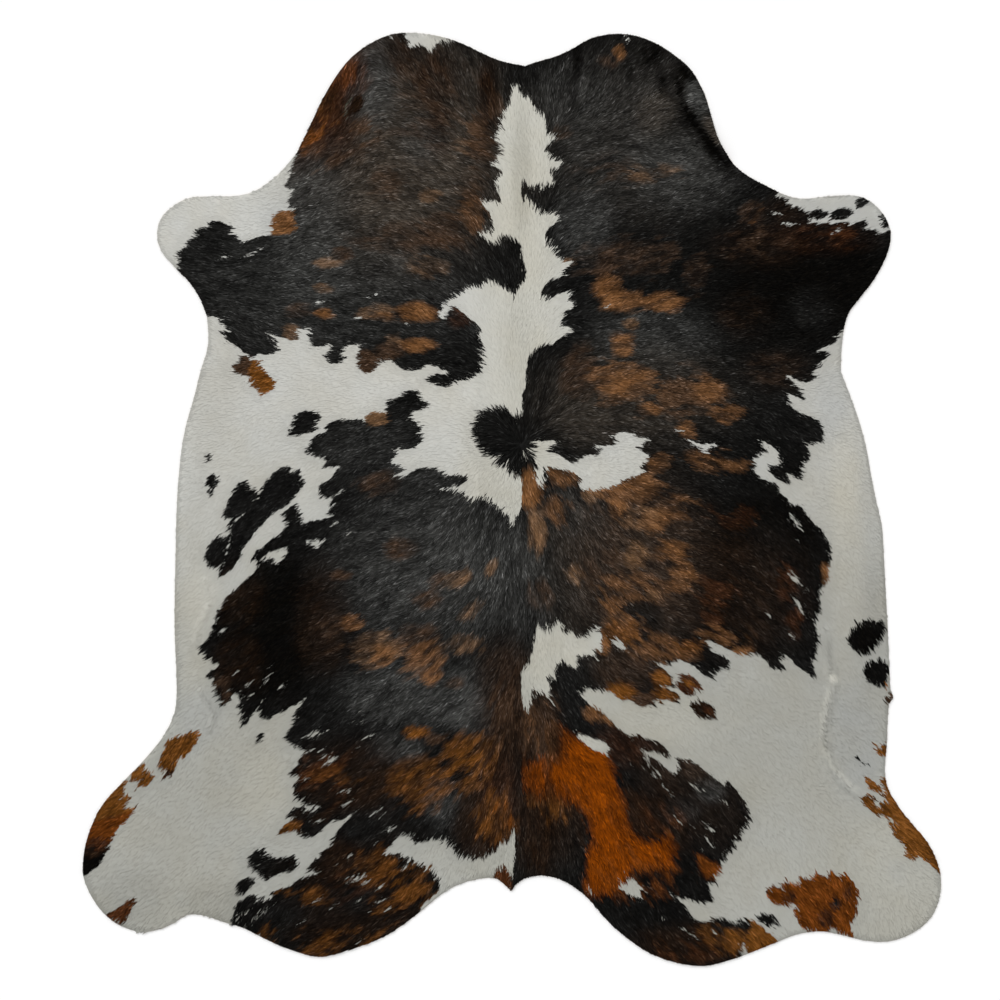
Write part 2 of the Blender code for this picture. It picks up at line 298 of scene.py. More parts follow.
        688, 439.5, 699.5, 444, 712, 443.5, 722, 445, 711, 449, 711, 454, 702, 453, 704, 449, 696, 447,
    )),
    Patch("white notch on the left flank", Hair.WHITE, (
        258, 562, 270, 552, 280, 549, 289, 549, 284, 556, 277, 566, 270, 560,
    )),
    Patch("white triangle beside the backbone", Hair.WHITE, (
        533, 650, 534, 640, 538, 625, 545, 631, 552, 630, 555, 622, 562, 623, 572, 631, 576, 637,
        585, 639, 592, 631, 600, 626, 603, 636, 602, 642, 604, 650, 595, 653, 600, 664, 592, 655,
        586, 657, 578, 659, 577, 669, 570, 667, 562, 662, 558, 668, 555, 676, 549, 681, 551, 690,
        550, 698, 559, 712, 546, 696, 540, 693, 535, 694, 532, 705, 528, 715, 525, 712, 522, 700,
        521, 690, 521, 675, 524, 668, 530, 660,
    )),
    Patch("white fleck below the back", Hair.WHITE, (612, 642, 618, 639, 625, 645, 628, 652, 620, 649)),
    Patch("white nick in the right rump", Hair.WHITE, (
        576, 734, 585, 735, 600, 739, 606, 742, 612, 750, 608, 757, 598, 752, 590, 748, 580, 740,
    )),
    Patch("white spray in the right rump", Hair.WHITE, (
        618, 888, 625, 880, 632, 879, 640, 886, 648, 892, 640, 894, 645, 903, 635, 897, 625, 893,
    )),
    Patch("white spray in the left flank", Hair.WHITE, (302, 540, 325, 541, 316, 549)),
    Patch("dark dot in the triangle", Hair.BLACK, (560, 630, 566, 628, 572, 631, 568, 634, 562, 633)),
    Patch("dark dot in the swirl", Hair.BLACK, (590, 452, 594, 449, 601, 449, 601, 454, 594, 456)),
    Patch("tail tip", Hair.CHESTNUT, (492, 876, 499, 870, 505, 869, 508, 873, 512, 880, 512, 893)),
    Patch("rust spot by the left foreleg", Hair.RUST, (
        278, 211.5, 271, 220, 271, 235, 273, 236, 294, 233, 294, 211,
    )),
    Patch("brown tab of the shoulder", Hair.BROWN, (
        361, 349, 358, 356, 359, 367, 362, 373, 370.5, 373, 376, 367, 378, 356, 370, 349,
    )),
    Patch("brown tab above the flank", Hair.TAN, (
        364, 423, 364, 417, 373, 412, 386.5, 414, 388, 424, 374, 426,
    )),
    Patch("ember across the rump", Hair.EMBER, (
        522, 775, 526, 765, 537, 758, 550, 757, 562, 745, 560, 735, 548, 722, 556, 724, 572, 734,
        583, 745, 598, 752, 605, 757, 612, 765, 613, 775, 616, 785, 620, 796, 626, 806, 629, 818,
        632, 832, 640, 840, 655, 843, 668, 834, 674, 842, 672, 852, 678, 861, 671, 867, 655, 868,
        640, 866, 632, 872, 626, 880, 618, 887, 606, 897, 597, 896, 589, 889, 585, 878, 588, 862,
        594, 845, 592, 830, 588, 818, 580, 808, 566, 802, 550, 798, 535, 796, 524, 788,
    )),
    Patch("rust lip of the right rump", Hair.GINGER, (
        755, 922, 750, 930, 745, 940, 750, 960, 780, 945, 775, 938,
    )),
    Patch("copper bit by the right rump", Hair.COPPER, (
        697, 852, 706, 857, 715, 862, 722, 868, 718, 876, 708, 878, 702, 870,
    )),
    # Spots on the left, from the neck down.
    Patch("healed nick on the neck", Hair.UMBER, (
        347, 118, 350, 106, 354, 97, 361, 97, 364, 103, 362, 111, 354, 116,
    )),
    Patch("black spot above the left flank", Hair.BLACK, (
        289, 436, 288, 432, 291, 424, 296, 414, 305, 411, 316, 413, 319, 417, 314, 424, 315, 430,
        308, 434, 296, 436,
    )),
    Patch("spot by the left foreleg, dark part", Hair.BROWN, (
        231, 365, 240, 360, 237, 354.5, 249, 357, 253, 366, 252, 377, 240, 375, 232, 371,
    )),
    Patch("spot by the left foreleg, rust part", Hair.GINGER, (
        251, 360, 258, 362.6, 261, 372, 269, 375, 275, 381, 271, 390, 261, 396, 258, 391, 250, 383,
        249, 374,
    )),
    Patch("dot on the left flank", Hair.BLACK, (204, 458.5, 208, 454.5, 211, 459, 207, 462.5)),
    Patch("diamond on the left flank", Hair.BLACK, (211, 473, 204.5, 483, 211, 497, 219, 481)),
    Patch("oval spot on the left flank", Hair.BLACK, (
        258, 496, 264, 483, 271, 475, 280, 469, 287, 467.5, 290, 473, 298, 471.5, 300, 478, 304, 484,
        298, 492, 290, 502, 280, 510, 271, 513,
    )),
    Patch("long streak on the left flank", Hair.BLACK, (
        237, 483, 245, 481, 247, 487.5, 256, 491, 262, 500, 271, 513, 290, 503, 272, 514, 262, 525,
        254, 532, 250, 540, 243, 548, 240, 556, 236, 564, 232, 570, 224, 576, 218, 577, 220, 570,
        214, 569, 207, 567, 204, 560, 206, 552, 208, 545, 216, 538, 226, 538, 230, 533, 227, 530,
        230, 518, 224, 521, 222, 515, 223, 514, 229, 500, 233, 492,
    )),
    Patch("dot below the left flank", Hair.BLACK, (256, 735, 259, 733.5, 262.5, 736, 261, 742, 257, 741)),
    Patch("ginger spot on the left thigh", Hair.GINGER, (
        190, 732, 197, 733, 196, 742, 190, 752, 184, 758, 176, 760, 175, 768, 172, 775, 163, 779,
        167, 770, 160, 767, 157, 762, 162, 755, 164, 745, 170, 740, 180, 737,
    )),
    Patch("spot on the left hind leg", Hair.GINGER, (
        127, 778, 133, 771, 141, 768, 144, 773, 151, 774, 152, 780, 149, 785, 141, 787, 138, 789,
        137, 785, 140, 782, 133, 780,
    )),
    Patch("left hind leg, chestnut band", Hair.CHESTNUT, (
        113, 836, 109, 842, 107, 849, 104, 856, 92, 860, 70, 862, 70, 832,
    )),
    Patch("left hind leg, dark end", Hair.UMBER, (
        109, 842, 107, 845, 107, 849, 105, 856, 100, 863, 96, 868, 88, 872, 84, 877, 70, 878, 70, 852,
        88, 848, 98, 849,
    )),
    Patch("left hind leg, black end", Hair.INK_AND_FOLD_SHADE, (
        106, 852, 105, 856, 100, 863, 96, 868, 88, 872, 84, 877, 70, 878, 70, 861, 84, 858, 97, 856,
    )),
    Patch("left hind leg, copper edge", Hair.COPPER, (
        133, 810, 130, 814, 123, 823, 115, 830, 113, 836, 104, 841, 99, 837, 94, 841, 88, 838, 70, 846,
        70, 806,
    )),
    Patch("left hind leg, ginger edge", Hair.GINGER, (
        125, 784, 121, 790, 124, 793, 122, 798, 130, 799, 123, 806, 133, 810, 110, 818, 70, 824, 70, 800,
        100, 770,
    )),
    Patch("dark tip of the spot on the thigh", Hair.CHESTNUT, (163, 779, 166, 772, 172, 773, 171, 777)),
    Patch("chestnut under the left hind leg", Hair.CHESTNUT, (
        106, 915, 113, 910, 121, 907, 127, 901, 134, 898, 132, 906, 129, 914, 122, 925, 113, 921,
    )),
    Patch("black spot on the left rump", Hair.BLACK, (
        248, 857, 252, 852, 262, 850, 267, 856, 274, 859, 286, 858, 294, 860, 296, 867, 291, 872,
        280, 873, 270, 878, 264, 881, 257, 873, 251, 864,
    )),
    Patch("small black spot on the left rump", Hair.BLACK, (
        235, 887, 240, 880, 247, 878, 253, 883, 248, 889, 243, 896, 237, 893,
    )),
    # Spots on the right, from the neck down.
    Patch("speck on the right foreleg", Hair.BLACK, (
        812, 210, 820, 209, 829, 212, 828, 217, 818, 219, 811, 217,
    )),
    Patch("second speck on the right foreleg", Hair.BLACK, (
        830, 217, 836, 210, 846, 207.5, 854, 211, 850, 216, 842, 220, 834, 220,
    )),
    Patch("third speck on the right foreleg", Hair.BLACK, (
        855, 209, 858, 203, 857, 198, 866, 197, 870, 203, 862, 207,
    )),
    Patch("fourth speck on the right foreleg", Hair.BLACK, (
        878, 218, 882, 213, 889, 222, 892, 228, 886, 227, 880, 222,
    )),
    Patch("brown spot on the right loin", Hair.CHESTNUT, (
        680, 674, 689, 675, 696, 679, 700, 684, 703, 690, 697, 691, 690, 695, 684, 694, 678, 689,
        677, 683, 684, 681,
    )),
    Patch("ginger in the brown spot", Hair.GINGER, (686, 679, 693, 681, 697, 686, 690, 690, 684, 687)),
    Patch("second brown spot on the right loin", Hair.UMBER, (
        690, 702, 697, 704, 705, 702, 711, 705, 716, 711, 716, 718, 707, 720, 699, 718, 694, 711,
    )),
    Patch("chestnut in the second brown spot", Hair.CHESTNUT, (701, 708, 708, 707, 712, 713, 705, 716)),
    Patch("black spot on the right flank", Hair.BLACK, (
        848, 641, 851, 632, 858, 625, 868, 621, 878, 621, 885, 624, 887, 629, 883, 637, 879, 643,
        873, 650, 866, 655, 859, 654, 852, 649,
    )),
    Patch("second black spot on the right flank", Hair.BLACK, (
        864, 668, 868, 664, 880, 661, 886, 664, 889, 669, 889, 680, 886, 685, 880, 685, 874, 686,
        868, 682, 865, 675,
    )),
    Patch("tuft on the right flank", Hair.BROWN, (
        884, 702, 889, 696, 891, 692, 896, 697, 893, 704, 886, 704,
    )),
    Patch("ginger edge of the right flank", Hair.GINGER, (
        890, 742, 885, 757, 881, 757, 876, 752, 880, 748,
    )),
    Patch("speck on the right thigh", Hair.GINGER, (880, 780, 884, 774, 888, 780, 890, 788, 883, 785)),
    Patch("second speck on the right thigh", Hair.GINGER, (
        864, 777, 870, 779, 876, 783, 880, 787, 884, 791, 880, 794, 872, 791, 867, 785,
    )),
    Patch("third speck on the right thigh", Hair.GINGER, (
        861, 797, 865, 799, 872, 796, 877, 800, 876, 806, 880, 812, 878, 816, 873, 812, 868, 808,
        863, 803,
    )),
    Patch("right hind leg, ginger edge", Hair.GINGER, (
        888, 785, 884, 797, 888, 803, 883, 805, 880, 812, 885, 818, 890, 816, 893, 821, 893, 832,
        898, 838, 905, 845, 908, 851, 907, 857, 912, 860, 920, 858, 928, 862, 936, 870, 942, 878,
        955, 860, 930, 810, 900, 775,
    )),
    Patch("copper patch under the right rump", Hair.COPPER, (
        768, 894, 770, 900, 776, 905, 789, 907, 794, 903, 798, 908, 795, 916, 798, 922, 802, 928,
        808, 931, 825, 931, 832, 928, 842, 935, 848, 936, 855, 939, 850, 930, 851, 920, 856, 917,
        858, 910, 855, 905, 860, 899, 860, 893, 853, 883, 847, 875, 840, 879, 833, 872, 826, 878,
        817, 873, 810, 881, 802, 878, 797, 886, 788, 883, 782, 889, 774, 887,
    )),
    Patch("chestnut mottle", Hair.CHESTNUT, (783, 898, 790, 893, 797, 897, 792, 903, 785, 903)),
    Patch("second chestnut mottle", Hair.CHESTNUT, (818, 915, 826, 908, 833, 914, 828, 926, 820, 923)),
    Patch("third chestnut mottle", Hair.CHESTNUT, (843, 889, 850, 888, 852, 896, 846, 903, 842, 897)),
    Patch("dark spot in the copper patch", Hair.BLACK, (
        832, 900, 838, 898, 841, 905, 836, 912, 831, 907,
    )),
    Patch("black spot below the right rump", Hair.BLACK, (
        760, 920, 765, 915, 772, 914, 778, 920, 776, 926, 770, 928, 764, 924,
    )),
)

# Thin licks of hair over the edges of the patches: white hair in the dark, and painted shade in the folds of
# the neck.
LICKS = (
    *licks(Hair.WHITE, (389, 35, 392, 38, 3), (222, 258, 228, 256, 2.5), (242, 258, 251, 252, 4),
           (254, 253, 266, 245, 3), (218, 258, 231, 256, 2), (311, 305, 323, 301, 4),
           (368, 297, 380, 293, 3), (351, 319, 367, 317, 2), (402, 325, 410, 323, 2),
           (676, 432, 684, 430, 2), (622, 37, 633, 39, 5), (607, 308, 613, 304, 2.5),
           (350, 485, 333, 497, 3), (326, 528, 338, 522, 3), (343, 537, 350, 533, 2),
           (226, 628, 211, 641, 3), (222, 694, 232, 690, 2), (240, 690, 255, 681, 3),
           (275, 690, 285, 684, 2.5), (355, 715, 361, 711, 2), (347, 726, 352, 723, 2),
           (300, 740, 324, 730, 6), (361, 738, 376, 734, 4), (300, 757, 315, 747, 3),
           (323, 768, 336, 753, 8), (319, 760, 329, 752, 3), (300, 780, 313, 778, 2),
           (340, 796, 352, 785, 6.5), (350, 753, 358, 748, 1.5), (340, 808, 355, 799, 3.5),
           (368, 817, 379, 811, 1.5), (375, 821, 385, 814, 1.2), (310, 820, 325, 822, 2.5),
           (385, 830, 400, 829, 5), (370, 846, 380, 843, 2.5), (253, 922, 269, 907, 4.5),
           (240, 918, 252, 908, 2.5), (769, 212, 786, 215, 4), (778, 222, 802, 224, 3.5),
           (788, 515, 806, 533, 6), (792, 536, 800, 545, 2.5), (785, 567, 806, 590, 6),
           (792, 597, 806, 615, 5), (763, 612, 773, 618, 2.5), (788, 635, 800, 639, 3),
           (585, 891, 595, 892, 4), (657, 916, 672, 925, 2.5), (672, 925, 703, 940, 2.5),
           (710, 927, 717, 935, 2), (650, 770, 660, 782, 2.5), (693, 785, 697, 790, 2),
           (720, 800, 727, 806, 2), (707, 822, 715, 833, 2), (828, 236, 842, 229, 2),
           (512, 870, 506, 884, 2), (242, 687, 250, 681, 2), (257, 690, 268, 680, 2),
           (259, 704, 264, 699, 1.5), (283, 712, 297, 703, 2), (232, 676, 239, 671, 1.5),
           (268, 668, 276, 662, 1.2), (311, 739, 326, 731, 2), (333, 748, 340, 744, 1.5),
           (524, 449, 526, 464, 1.5)),
    *licks(Hair.GINGER, (884, 684, 889, 692, 5)),
    *licks(Hair.BLACK, (855, 757, 864, 764, 1.5), (862, 763, 872, 766, 2.5), (171, 211, 175, 214, 2)),
    *licks(Hair.FAWN, (352, 96, 344, 110, 3), (345, 107, 347, 121, 2.5)),
    # Painted shade in the folds of the neck.
    *licks(Hair.INK_AND_FOLD_SHADE, (677, 76, 684, 104, 5), (680, 101, 703, 136, 8), (692, 120, 728, 168, 9),
           (676, 62, 693, 84, 10), (643, 66, 663, 48, 7), (660, 71, 665, 96, 3)),
    *licks(Hair.WHITE, (641, 752, 652, 764, 5), (652, 771, 660, 783, 2), (656, 770, 661, 778, 1.5),
           (630, 765, 634, 769, 2), (695, 785, 699, 791, 2), (699, 785, 703, 791, 1.5),
           (690, 824, 699, 832, 1.5), (664, 786, 672, 795, 1.2), (676, 818, 683, 826, 1.2),
           (712, 776, 719, 783, 1.2), (708, 840, 713, 848, 1.5), (698, 846, 708, 858, 3),
           (647, 760, 651, 771, 3), (344, 882, 372, 875, 5.5), (374, 904, 389, 897, 2),
           (357, 888, 368, 880, 4), (231, 530, 225, 560, 2.5), (228, 528, 246, 511, 3),
           (252, 503, 260, 497, 2), (216, 572, 222, 562, 1.5), (372, 893, 384, 884, 2),
           (352, 905, 363, 897, 1.5), (398, 872, 408, 866, 1.5), (330, 868, 341, 861, 1.5),
           (346, 858, 356, 852, 1.2), (383, 912, 393, 905, 1.5), (365, 915, 374, 909, 1.2),
           (232, 925, 243, 912, 2.5), (238, 937, 248, 922, 2.5), (250, 925, 258, 914, 2.5),
           (255, 942, 262, 930, 2), (310, 903, 324, 897, 3), (328, 910, 336, 905, 1.2),
           (352, 946, 362, 940, 1.2), (296, 925, 304, 920, 1.2), (641, 764, 649, 773, 1.5),
           (720, 798, 729, 807, 2), (706, 824, 714, 834, 2.5), (730, 838, 738, 848, 1.5),
           (262, 681, 275, 671, 1.5), (246, 700, 256, 691, 2), (292, 756, 304, 748, 2),
           (316, 754, 326, 746, 1.5), (354, 726, 366, 720, 1.5)),
)

# Broad soft tints of the dark hair, painted sheen, and painted shade in the neck's folds, later ones over
# earlier ones.
TINTS_AND_SHEENS = (
    *tones(Hair.INK_AND_FOLD_SHADE, (690, 225, 895, 345, 0.88), (672, 455, 845, 668, 0.88), (205, 560, 345, 715, 0.95),
           (225, 828, 425, 968, 0.62), (585, 735, 765, 975, 0.55), (842, 612, 896, 692, 0.85)),
    *tones(Hair.DUN_SHEEN, (292, 45, 500, 255, 0.62)),
    *tones(Hair.UMBER, (292, 836, 436, 966, 0.44), (266, 88, 398, 122, 0.9, -58),
           (298, 890, 384, 950, 0.34), (638, 928, 735, 966, 0.8)),
    *tones(Hair.BROWN, (455, 735, 516, 850, 0.3)),
    *tones(Hair.CHESTNUT, (268, 88, 396, 124, 0.6, -58), (480, 745, 516, 850, 0.4),
           (622, 802, 660, 850, 0.22)),
    *tones(Hair.UMBER, (308, 104, 358, 166, 0.72), (526, 792, 592, 826, 0.6)),
    *tones(Hair.BROWN, (526, 790, 590, 816, 0.3), (640, 742, 704, 792, 0.22)),
    *tones(Hair.CHESTNUT, (302, 108, 352, 156, 0.34), (600, 722, 650, 764, 0.3)),
    *tones(Hair.COPPER, (272, 90, 386, 110, 0.26, -60)),
    *tones(Hair.GREY_SHEEN, (275, 150, 345, 300, 0.62), (350, 45, 395, 125, 0.8), (400, 118, 442, 162, 0.5),
           (180, 232, 480, 352, 0.32), (795, 290, 830, 325, 0.14), (322, 418, 420, 482, 0.28)),
    *tones(Hair.UMBER, (385, 38, 415, 72, 0.75), (415, 50, 455, 106, 0.8), (478, 60, 497, 132, 0.85),
           (428, 102, 448, 150, 0.5)),
    *tones(Hair.BLACK, (508, 64, 545, 92, 0.85), (490, 236, 528, 292, 0.55), (284, 884, 356, 926, 0.35)),
    *tones(Hair.DUN_SHEEN, (556, 396, 612, 444, 0.2), (545, 58, 722, 215, 0.16)),
    *tones(Hair.GREY_SHEEN, (548, 70, 700, 200, 0.26), (556, 190, 612, 258, 0.55), (540, 62, 604, 132, 0.28),
           (640, 138, 732, 206, 0.5), (595, 308, 705, 366, 0.45)),
    # All but the first and the last are painted shade in the folds of the neck.
    *tones(Hair.INK_AND_FOLD_SHADE, (280, 740, 350, 830, 0.4), (574, 38, 582, 78, 0.75), (569, 70, 578, 104, 0.55),
           (626, 58, 633, 84, 0.6), (638, 44, 668, 66, 0.6, -35), (657, 68, 668, 100, 0.5),
           (672, 56, 702, 90, 0.6), (664, 108, 716, 130, 0.75, 60), (696, 146, 742, 164, 0.8, 48),
           (795, 240, 895, 312, 0.8)),
    *tones(Hair.UMBER, (714, 226, 800, 264, 0.4), (720, 296, 768, 340, 0.2), (745, 350, 808, 390, 0.32)),
    *tones(Hair.DUN_SHEEN, (548, 352, 720, 440, 0.3), (545, 480, 690, 645, 0.26)),
    *tones(Hair.BROWN, (690, 776, 748, 850, 0.1), (582, 478, 706, 650, 0.42)),
    *tones(Hair.GREY_SHEEN, (699, 783, 723, 801, 0.42), (662, 800, 698, 824, 0.22), (682, 92, 714, 108, 1, 66),
           (548, 490, 610, 535, 0.16), (500, 528, 548, 640, 0.32)),
    *tones(Hair.BLACK, (636, 598, 662, 638, 0.85), (612, 605, 642, 619, 0.7), (738, 538, 802, 662, 0.7),
           (652, 470, 770, 500, 0.5)),
    *tones(Hair.CHESTNUT, (775, 222, 868, 252, 0.14)),
    *tones(Hair.UMBER, (768, 194, 806, 226, 0.5), (700, 540, 800, 650, 0.5)),
    *tones(Hair.BROWN, (680, 760, 708, 778, 0.28), (598, 652, 652, 692, 0.4)),
    *tones(Hair.GREY_SHEEN, (345, 492, 515, 642, 0.64), (345, 664, 500, 724, 0.62), (452, 694, 494, 732, 0.85),
           (372, 736, 422, 762, 0.42)),
    *tones(Hair.UMBER, (212, 568, 262, 622, 0.44), (216, 640, 262, 690, 0.4), (478, 655, 530, 762, 0.85)),
    *tones(Hair.INK_AND_FOLD_SHADE, (262, 560, 300, 690, 0.6)),
    *tones(Hair.BLACK, (304, 664, 346, 742, 0.6)),
    *tones(Hair.UMBER, (300, 568, 346, 662, 0.45), (298, 745, 400, 812, 0.7), (328, 842, 362, 882, 0.7)),
    *tones(Hair.BROWN, (300, 598, 350, 668, 0.12), (480, 640, 528, 700, 0.25)),
    *tones(Hair.GREY_SHEEN, (426, 782, 456, 822, 0.6)),
    *tones(Hair.UMBER, (460, 800, 500, 855, 0.8), (516, 695, 560, 772, 0.85), (518, 790, 562, 876, 0.85)),
    *tones(Hair.BLACK, (342, 878, 374, 914, 0.8), (266, 904, 302, 926, 0.7), (338, 814, 382, 842, 0.9),
           (553, 830, 590, 880, 0.8)),
    *tones(Hair.UMBER, (540, 800, 590, 862, 0.4), (562, 794, 592, 812, 0.6), (620, 790, 690, 858, 0.6)),
    *tones(Hair.DUN_SHEEN, (700, 126, 728, 136, 0.6, 62), (638, 94, 674, 132, 0.3), (686, 766, 730, 786, 0.12)),
)

# The brindle: flecked patches of warmer hair in the dark coat, later ones over earlier ones.
BRINDLE = (
    *tones(Hair.GINGER, (296, 124, 332, 168, 0.46), (309, 767, 360, 785, 0.4), (402, 727, 427, 738, 0.72),
           (718, 928, 753, 954, 0.6), (698, 922, 738, 948, 0.3)),
    *tones(Hair.RUST, (396, 339, 433, 352, 0.72), (615, 46, 625, 58, 0.7), (518, 474, 540, 506, 0.85),
           (821, 564, 834, 588, 0.6), (340, 615, 364, 633, 0.45)),
    *tones(Hair.BROWN, (464, 116, 493, 168, 0.61), (284, 304, 312, 319, 0.55), (597, 57, 618, 69, 0.42),
           (552, 125, 573, 139, 0.34), (572, 158, 640, 200, 0.3), (572, 235, 682, 280, 0.53),
           (595, 248, 618, 280, 0.65), (742, 199, 770, 231, 0.5), (356, 473, 404, 497, 0.55),
           (382, 539, 420, 559, 0.67), (332, 571, 352, 581, 0.65), (312, 618, 350, 652, 0.41),
           (212, 676, 228, 696, 0.5), (221, 693, 234, 706, 0.55), (424, 735, 441, 745, 0.55)),
    *tones(Hair.TAN, (312, 284, 331, 292, 0.5), (356, 306, 396, 321, 0.5), (626, 166, 684, 181, 0.42),
           (562, 257, 582, 268, 0.45), (528, 512, 546, 552, 0.7), (441, 571, 472, 587, 0.6, -22),
           (482, 564, 500, 573, 0.5, -60)),
    *tones(Hair.RUST, (398, 304, 438, 320, 0.92), (370, 313, 398, 319, 0.5), (313, 309, 332, 318, 0.66),
           (597, 277, 624, 306, 0.74), (606, 293, 650, 311, 0.5), (644, 294, 683, 313, 0.62),
           (743, 212, 771, 221, 0.42, -52), (545, 465, 582, 489, 0.5), (548, 497, 572, 526, 0.4)),
    *tones(Hair.CHESTNUT, (448, 302, 472, 326, 0.5), (826, 232, 856, 248, 0.46),
           (804, 222, 848, 238, 0.38), (786, 605, 804, 636, 0.4), (292, 750, 352, 804, 0.32),
           (634, 806, 682, 846, 0.4), (640, 940, 720, 965, 0.25)),
    *tones(Hair.COPPER, (300, 108, 352, 158, 0.24), (306, 116, 346, 144, 0.3),
           (300, 138, 330, 160, 0.34)),
    *tones(Hair.GINGER, (312, 92, 346, 138, 0.3), (448, 732, 504, 762, 0.46), (392, 762, 452, 812, 0.55),
           (438, 744, 502, 778, 0.45), (446, 758, 482, 792, 0.34), (474, 786, 516, 850, 0.46),
           (650, 816, 680, 846, 0.15)),
    *tones(Hair.TAN, (384, 333, 402, 348, 0.5), (283, 326, 299, 342, 0.55), (625, 320, 639, 329, 0.6),
           (583, 486, 604, 502, 0.6)),
    *tones(Hair.RUST, (611, 335, 636, 358, 0.66), (597, 473, 662, 504, 0.72)),
    *tones(Hair.BROWN, (372, 343, 404, 359, 0.8), (682, 252, 712, 292, 0.5), (564, 348, 602, 404, 0.61),
           (720, 230, 790, 260, 0.28), (592, 486, 690, 530, 0.45), (427, 571, 446, 592, 0.53),
           (412, 591, 442, 609, 0.65)),
    *tones(Hair.RUST, (590, 362, 657, 404, 0.62), (644, 370, 702, 414, 0.28), (607, 497, 628, 517, 0.6),
           (640, 510, 670, 533, 0.72)),
    *tones(Hair.TAN, (622, 505, 662, 532, 0.42), (626, 543, 648, 568, 0.72),
           (452, 604, 488, 618, 0.5, -32), (344, 628, 402, 668, 0.52)),
    *tones(Hair.BROWN, (640, 366, 730, 420, 0.35), (720, 298, 762, 335, 0.11), (600, 548, 622, 566, 0.5),
           (395, 623, 442, 652, 0.63)),
    *tones(Hair.CHESTNUT, (326, 56, 370, 98, 0.55), (700, 503, 764, 529, 0.2, 8),
           (778, 555, 796, 606, 0.3)),
    *tones(Hair.RUST, (695, 377, 724, 402, 0.48), (635, 401, 660, 419, 0.48), (711, 405, 744, 424, 0.52),
           (679, 419, 698, 440, 0.55), (647, 451, 674, 475, 0.5), (683, 451, 750, 473, 0.4),
           (667, 495, 700, 518, 0.34), (658, 538, 688, 562, 0.55), (670, 556, 696, 594, 0.52),
           (399, 643, 450, 680, 0.42), (368, 646, 394, 666, 0.5)),
    *tones(Hair.COPPER, (336, 62, 360, 92, 0.28), (482, 796, 516, 848, 0.16)),
    *tones(Hair.EMBER, (492, 798, 514, 836, 0.24)),
    *tones(Hair.UMBER, (318, 88, 350, 124, 0.55), (292, 803, 332, 830, 0.3), (345, 778, 402, 812, 0.24),
           (484, 758, 530, 798, 0.3)),
    *tones(Hair.GINGER, (346, 120, 376, 150, 0.26), (276, 821, 302, 836, 0.55),
           (348, 846, 402, 884, 0.44)),
    *tones(Hair.TAN, (563, 566, 584, 588, 0.48), (438, 635, 482, 656, 0.46)),
    *tones(Hair.BROWN, (336, 116, 384, 160, 0.34), (320, 147, 344, 170, 0.53), (366, 170, 404, 200, 0.51),
           (750, 352, 800, 386, 0.2), (580, 560, 604, 590, 0.4), (522, 580, 552, 612, 0.53),
           (488, 686, 524, 762, 0.51)),
    *tones(Hair.RUST, (597, 574, 666, 606, 0.36), (590, 600, 622, 620, 0.42), (420, 666, 442, 686, 0.52)),
    *tones(Hair.CHESTNUT, (697, 572, 738, 630, 0.34), (336, 846, 432, 915, 0.22)),
    *tones(Hair.TAN, (416, 189, 440, 202, 0.6), (645, 591, 661, 600, 0.5)),
    *tones(Hair.RUST, (460, 194, 486, 234, 0.5), (695, 625, 746, 649, 0.34), (595, 611, 644, 646, 0.5),
           (733, 647, 752, 658, 0.7)),
    *tones(Hair.GINGER, (598, 622, 642, 646, 0.6), (380, 858, 436, 908, 0.36), (393, 878, 414, 902, 0.24),
           (368, 893, 397, 928, 0.32), (343, 922, 384, 948, 0.36), (298, 888, 328, 907, 0.42),
           (268, 883, 294, 899, 0.34), (292, 930, 348, 960, 0.34), (252, 922, 278, 948, 0.34)),
    *tones(Hair.RUST, (635, 635, 696, 664, 0.4), (598, 638, 610, 654, 0.6)),
    *tones(Hair.GINGER, (676, 636, 702, 652, 0.4), (652, 671, 672, 690, 0.7), (652, 686, 684, 704, 0.66),
           (606, 684, 636, 704, 0.7)),
    *tones(Hair.BROWN, (448, 184, 492, 246, 0.4), (420, 213, 464, 250, 0.67), (345, 222, 460, 252, 0.49),
           (330, 248, 352, 260, 0.67), (634, 694, 658, 708, 0.75), (700, 540, 790, 640, 0.08),
           (444, 677, 462, 689, 0.53)),
    *tones(Hair.TAN, (455, 116, 486, 166, 0.26), (310, 257, 340, 268, 0.46), (412, 254, 454, 277, 0.48)),
    *tones(Hair.RUST, (587, 703, 616, 725, 0.6)),
    *tones(Hair.BROWN, (487, 92, 506, 122, 0.4), (470, 100, 496, 200, 0.45), (380, 60, 470, 150, 0.39),
           (524, 695, 560, 768, 0.67)),
    *tones(Hair.GINGER, (526, 704, 562, 768, 0.24), (520, 786, 562, 818, 0.32)),
    *tones(Hair.UMBER, (526, 784, 590, 814, 0.44), (546, 722, 574, 760, 0.55)),
    *tones(Hair.GINGER, (524, 802, 588, 824, 0.26)),
    *tones(Hair.UMBER, (575, 806, 600, 850, 0.3), (608, 786, 646, 848, 0.42), (630, 830, 680, 870, 0.24),
           (514, 750, 556, 802, 0.44), (550, 745, 620, 800, 0.12)),
    *tones(Hair.COPPER, (586, 848, 684, 902, 0.36)),
    *tones(Hair.UMBER, (590, 850, 650, 900, 0.14)),
)

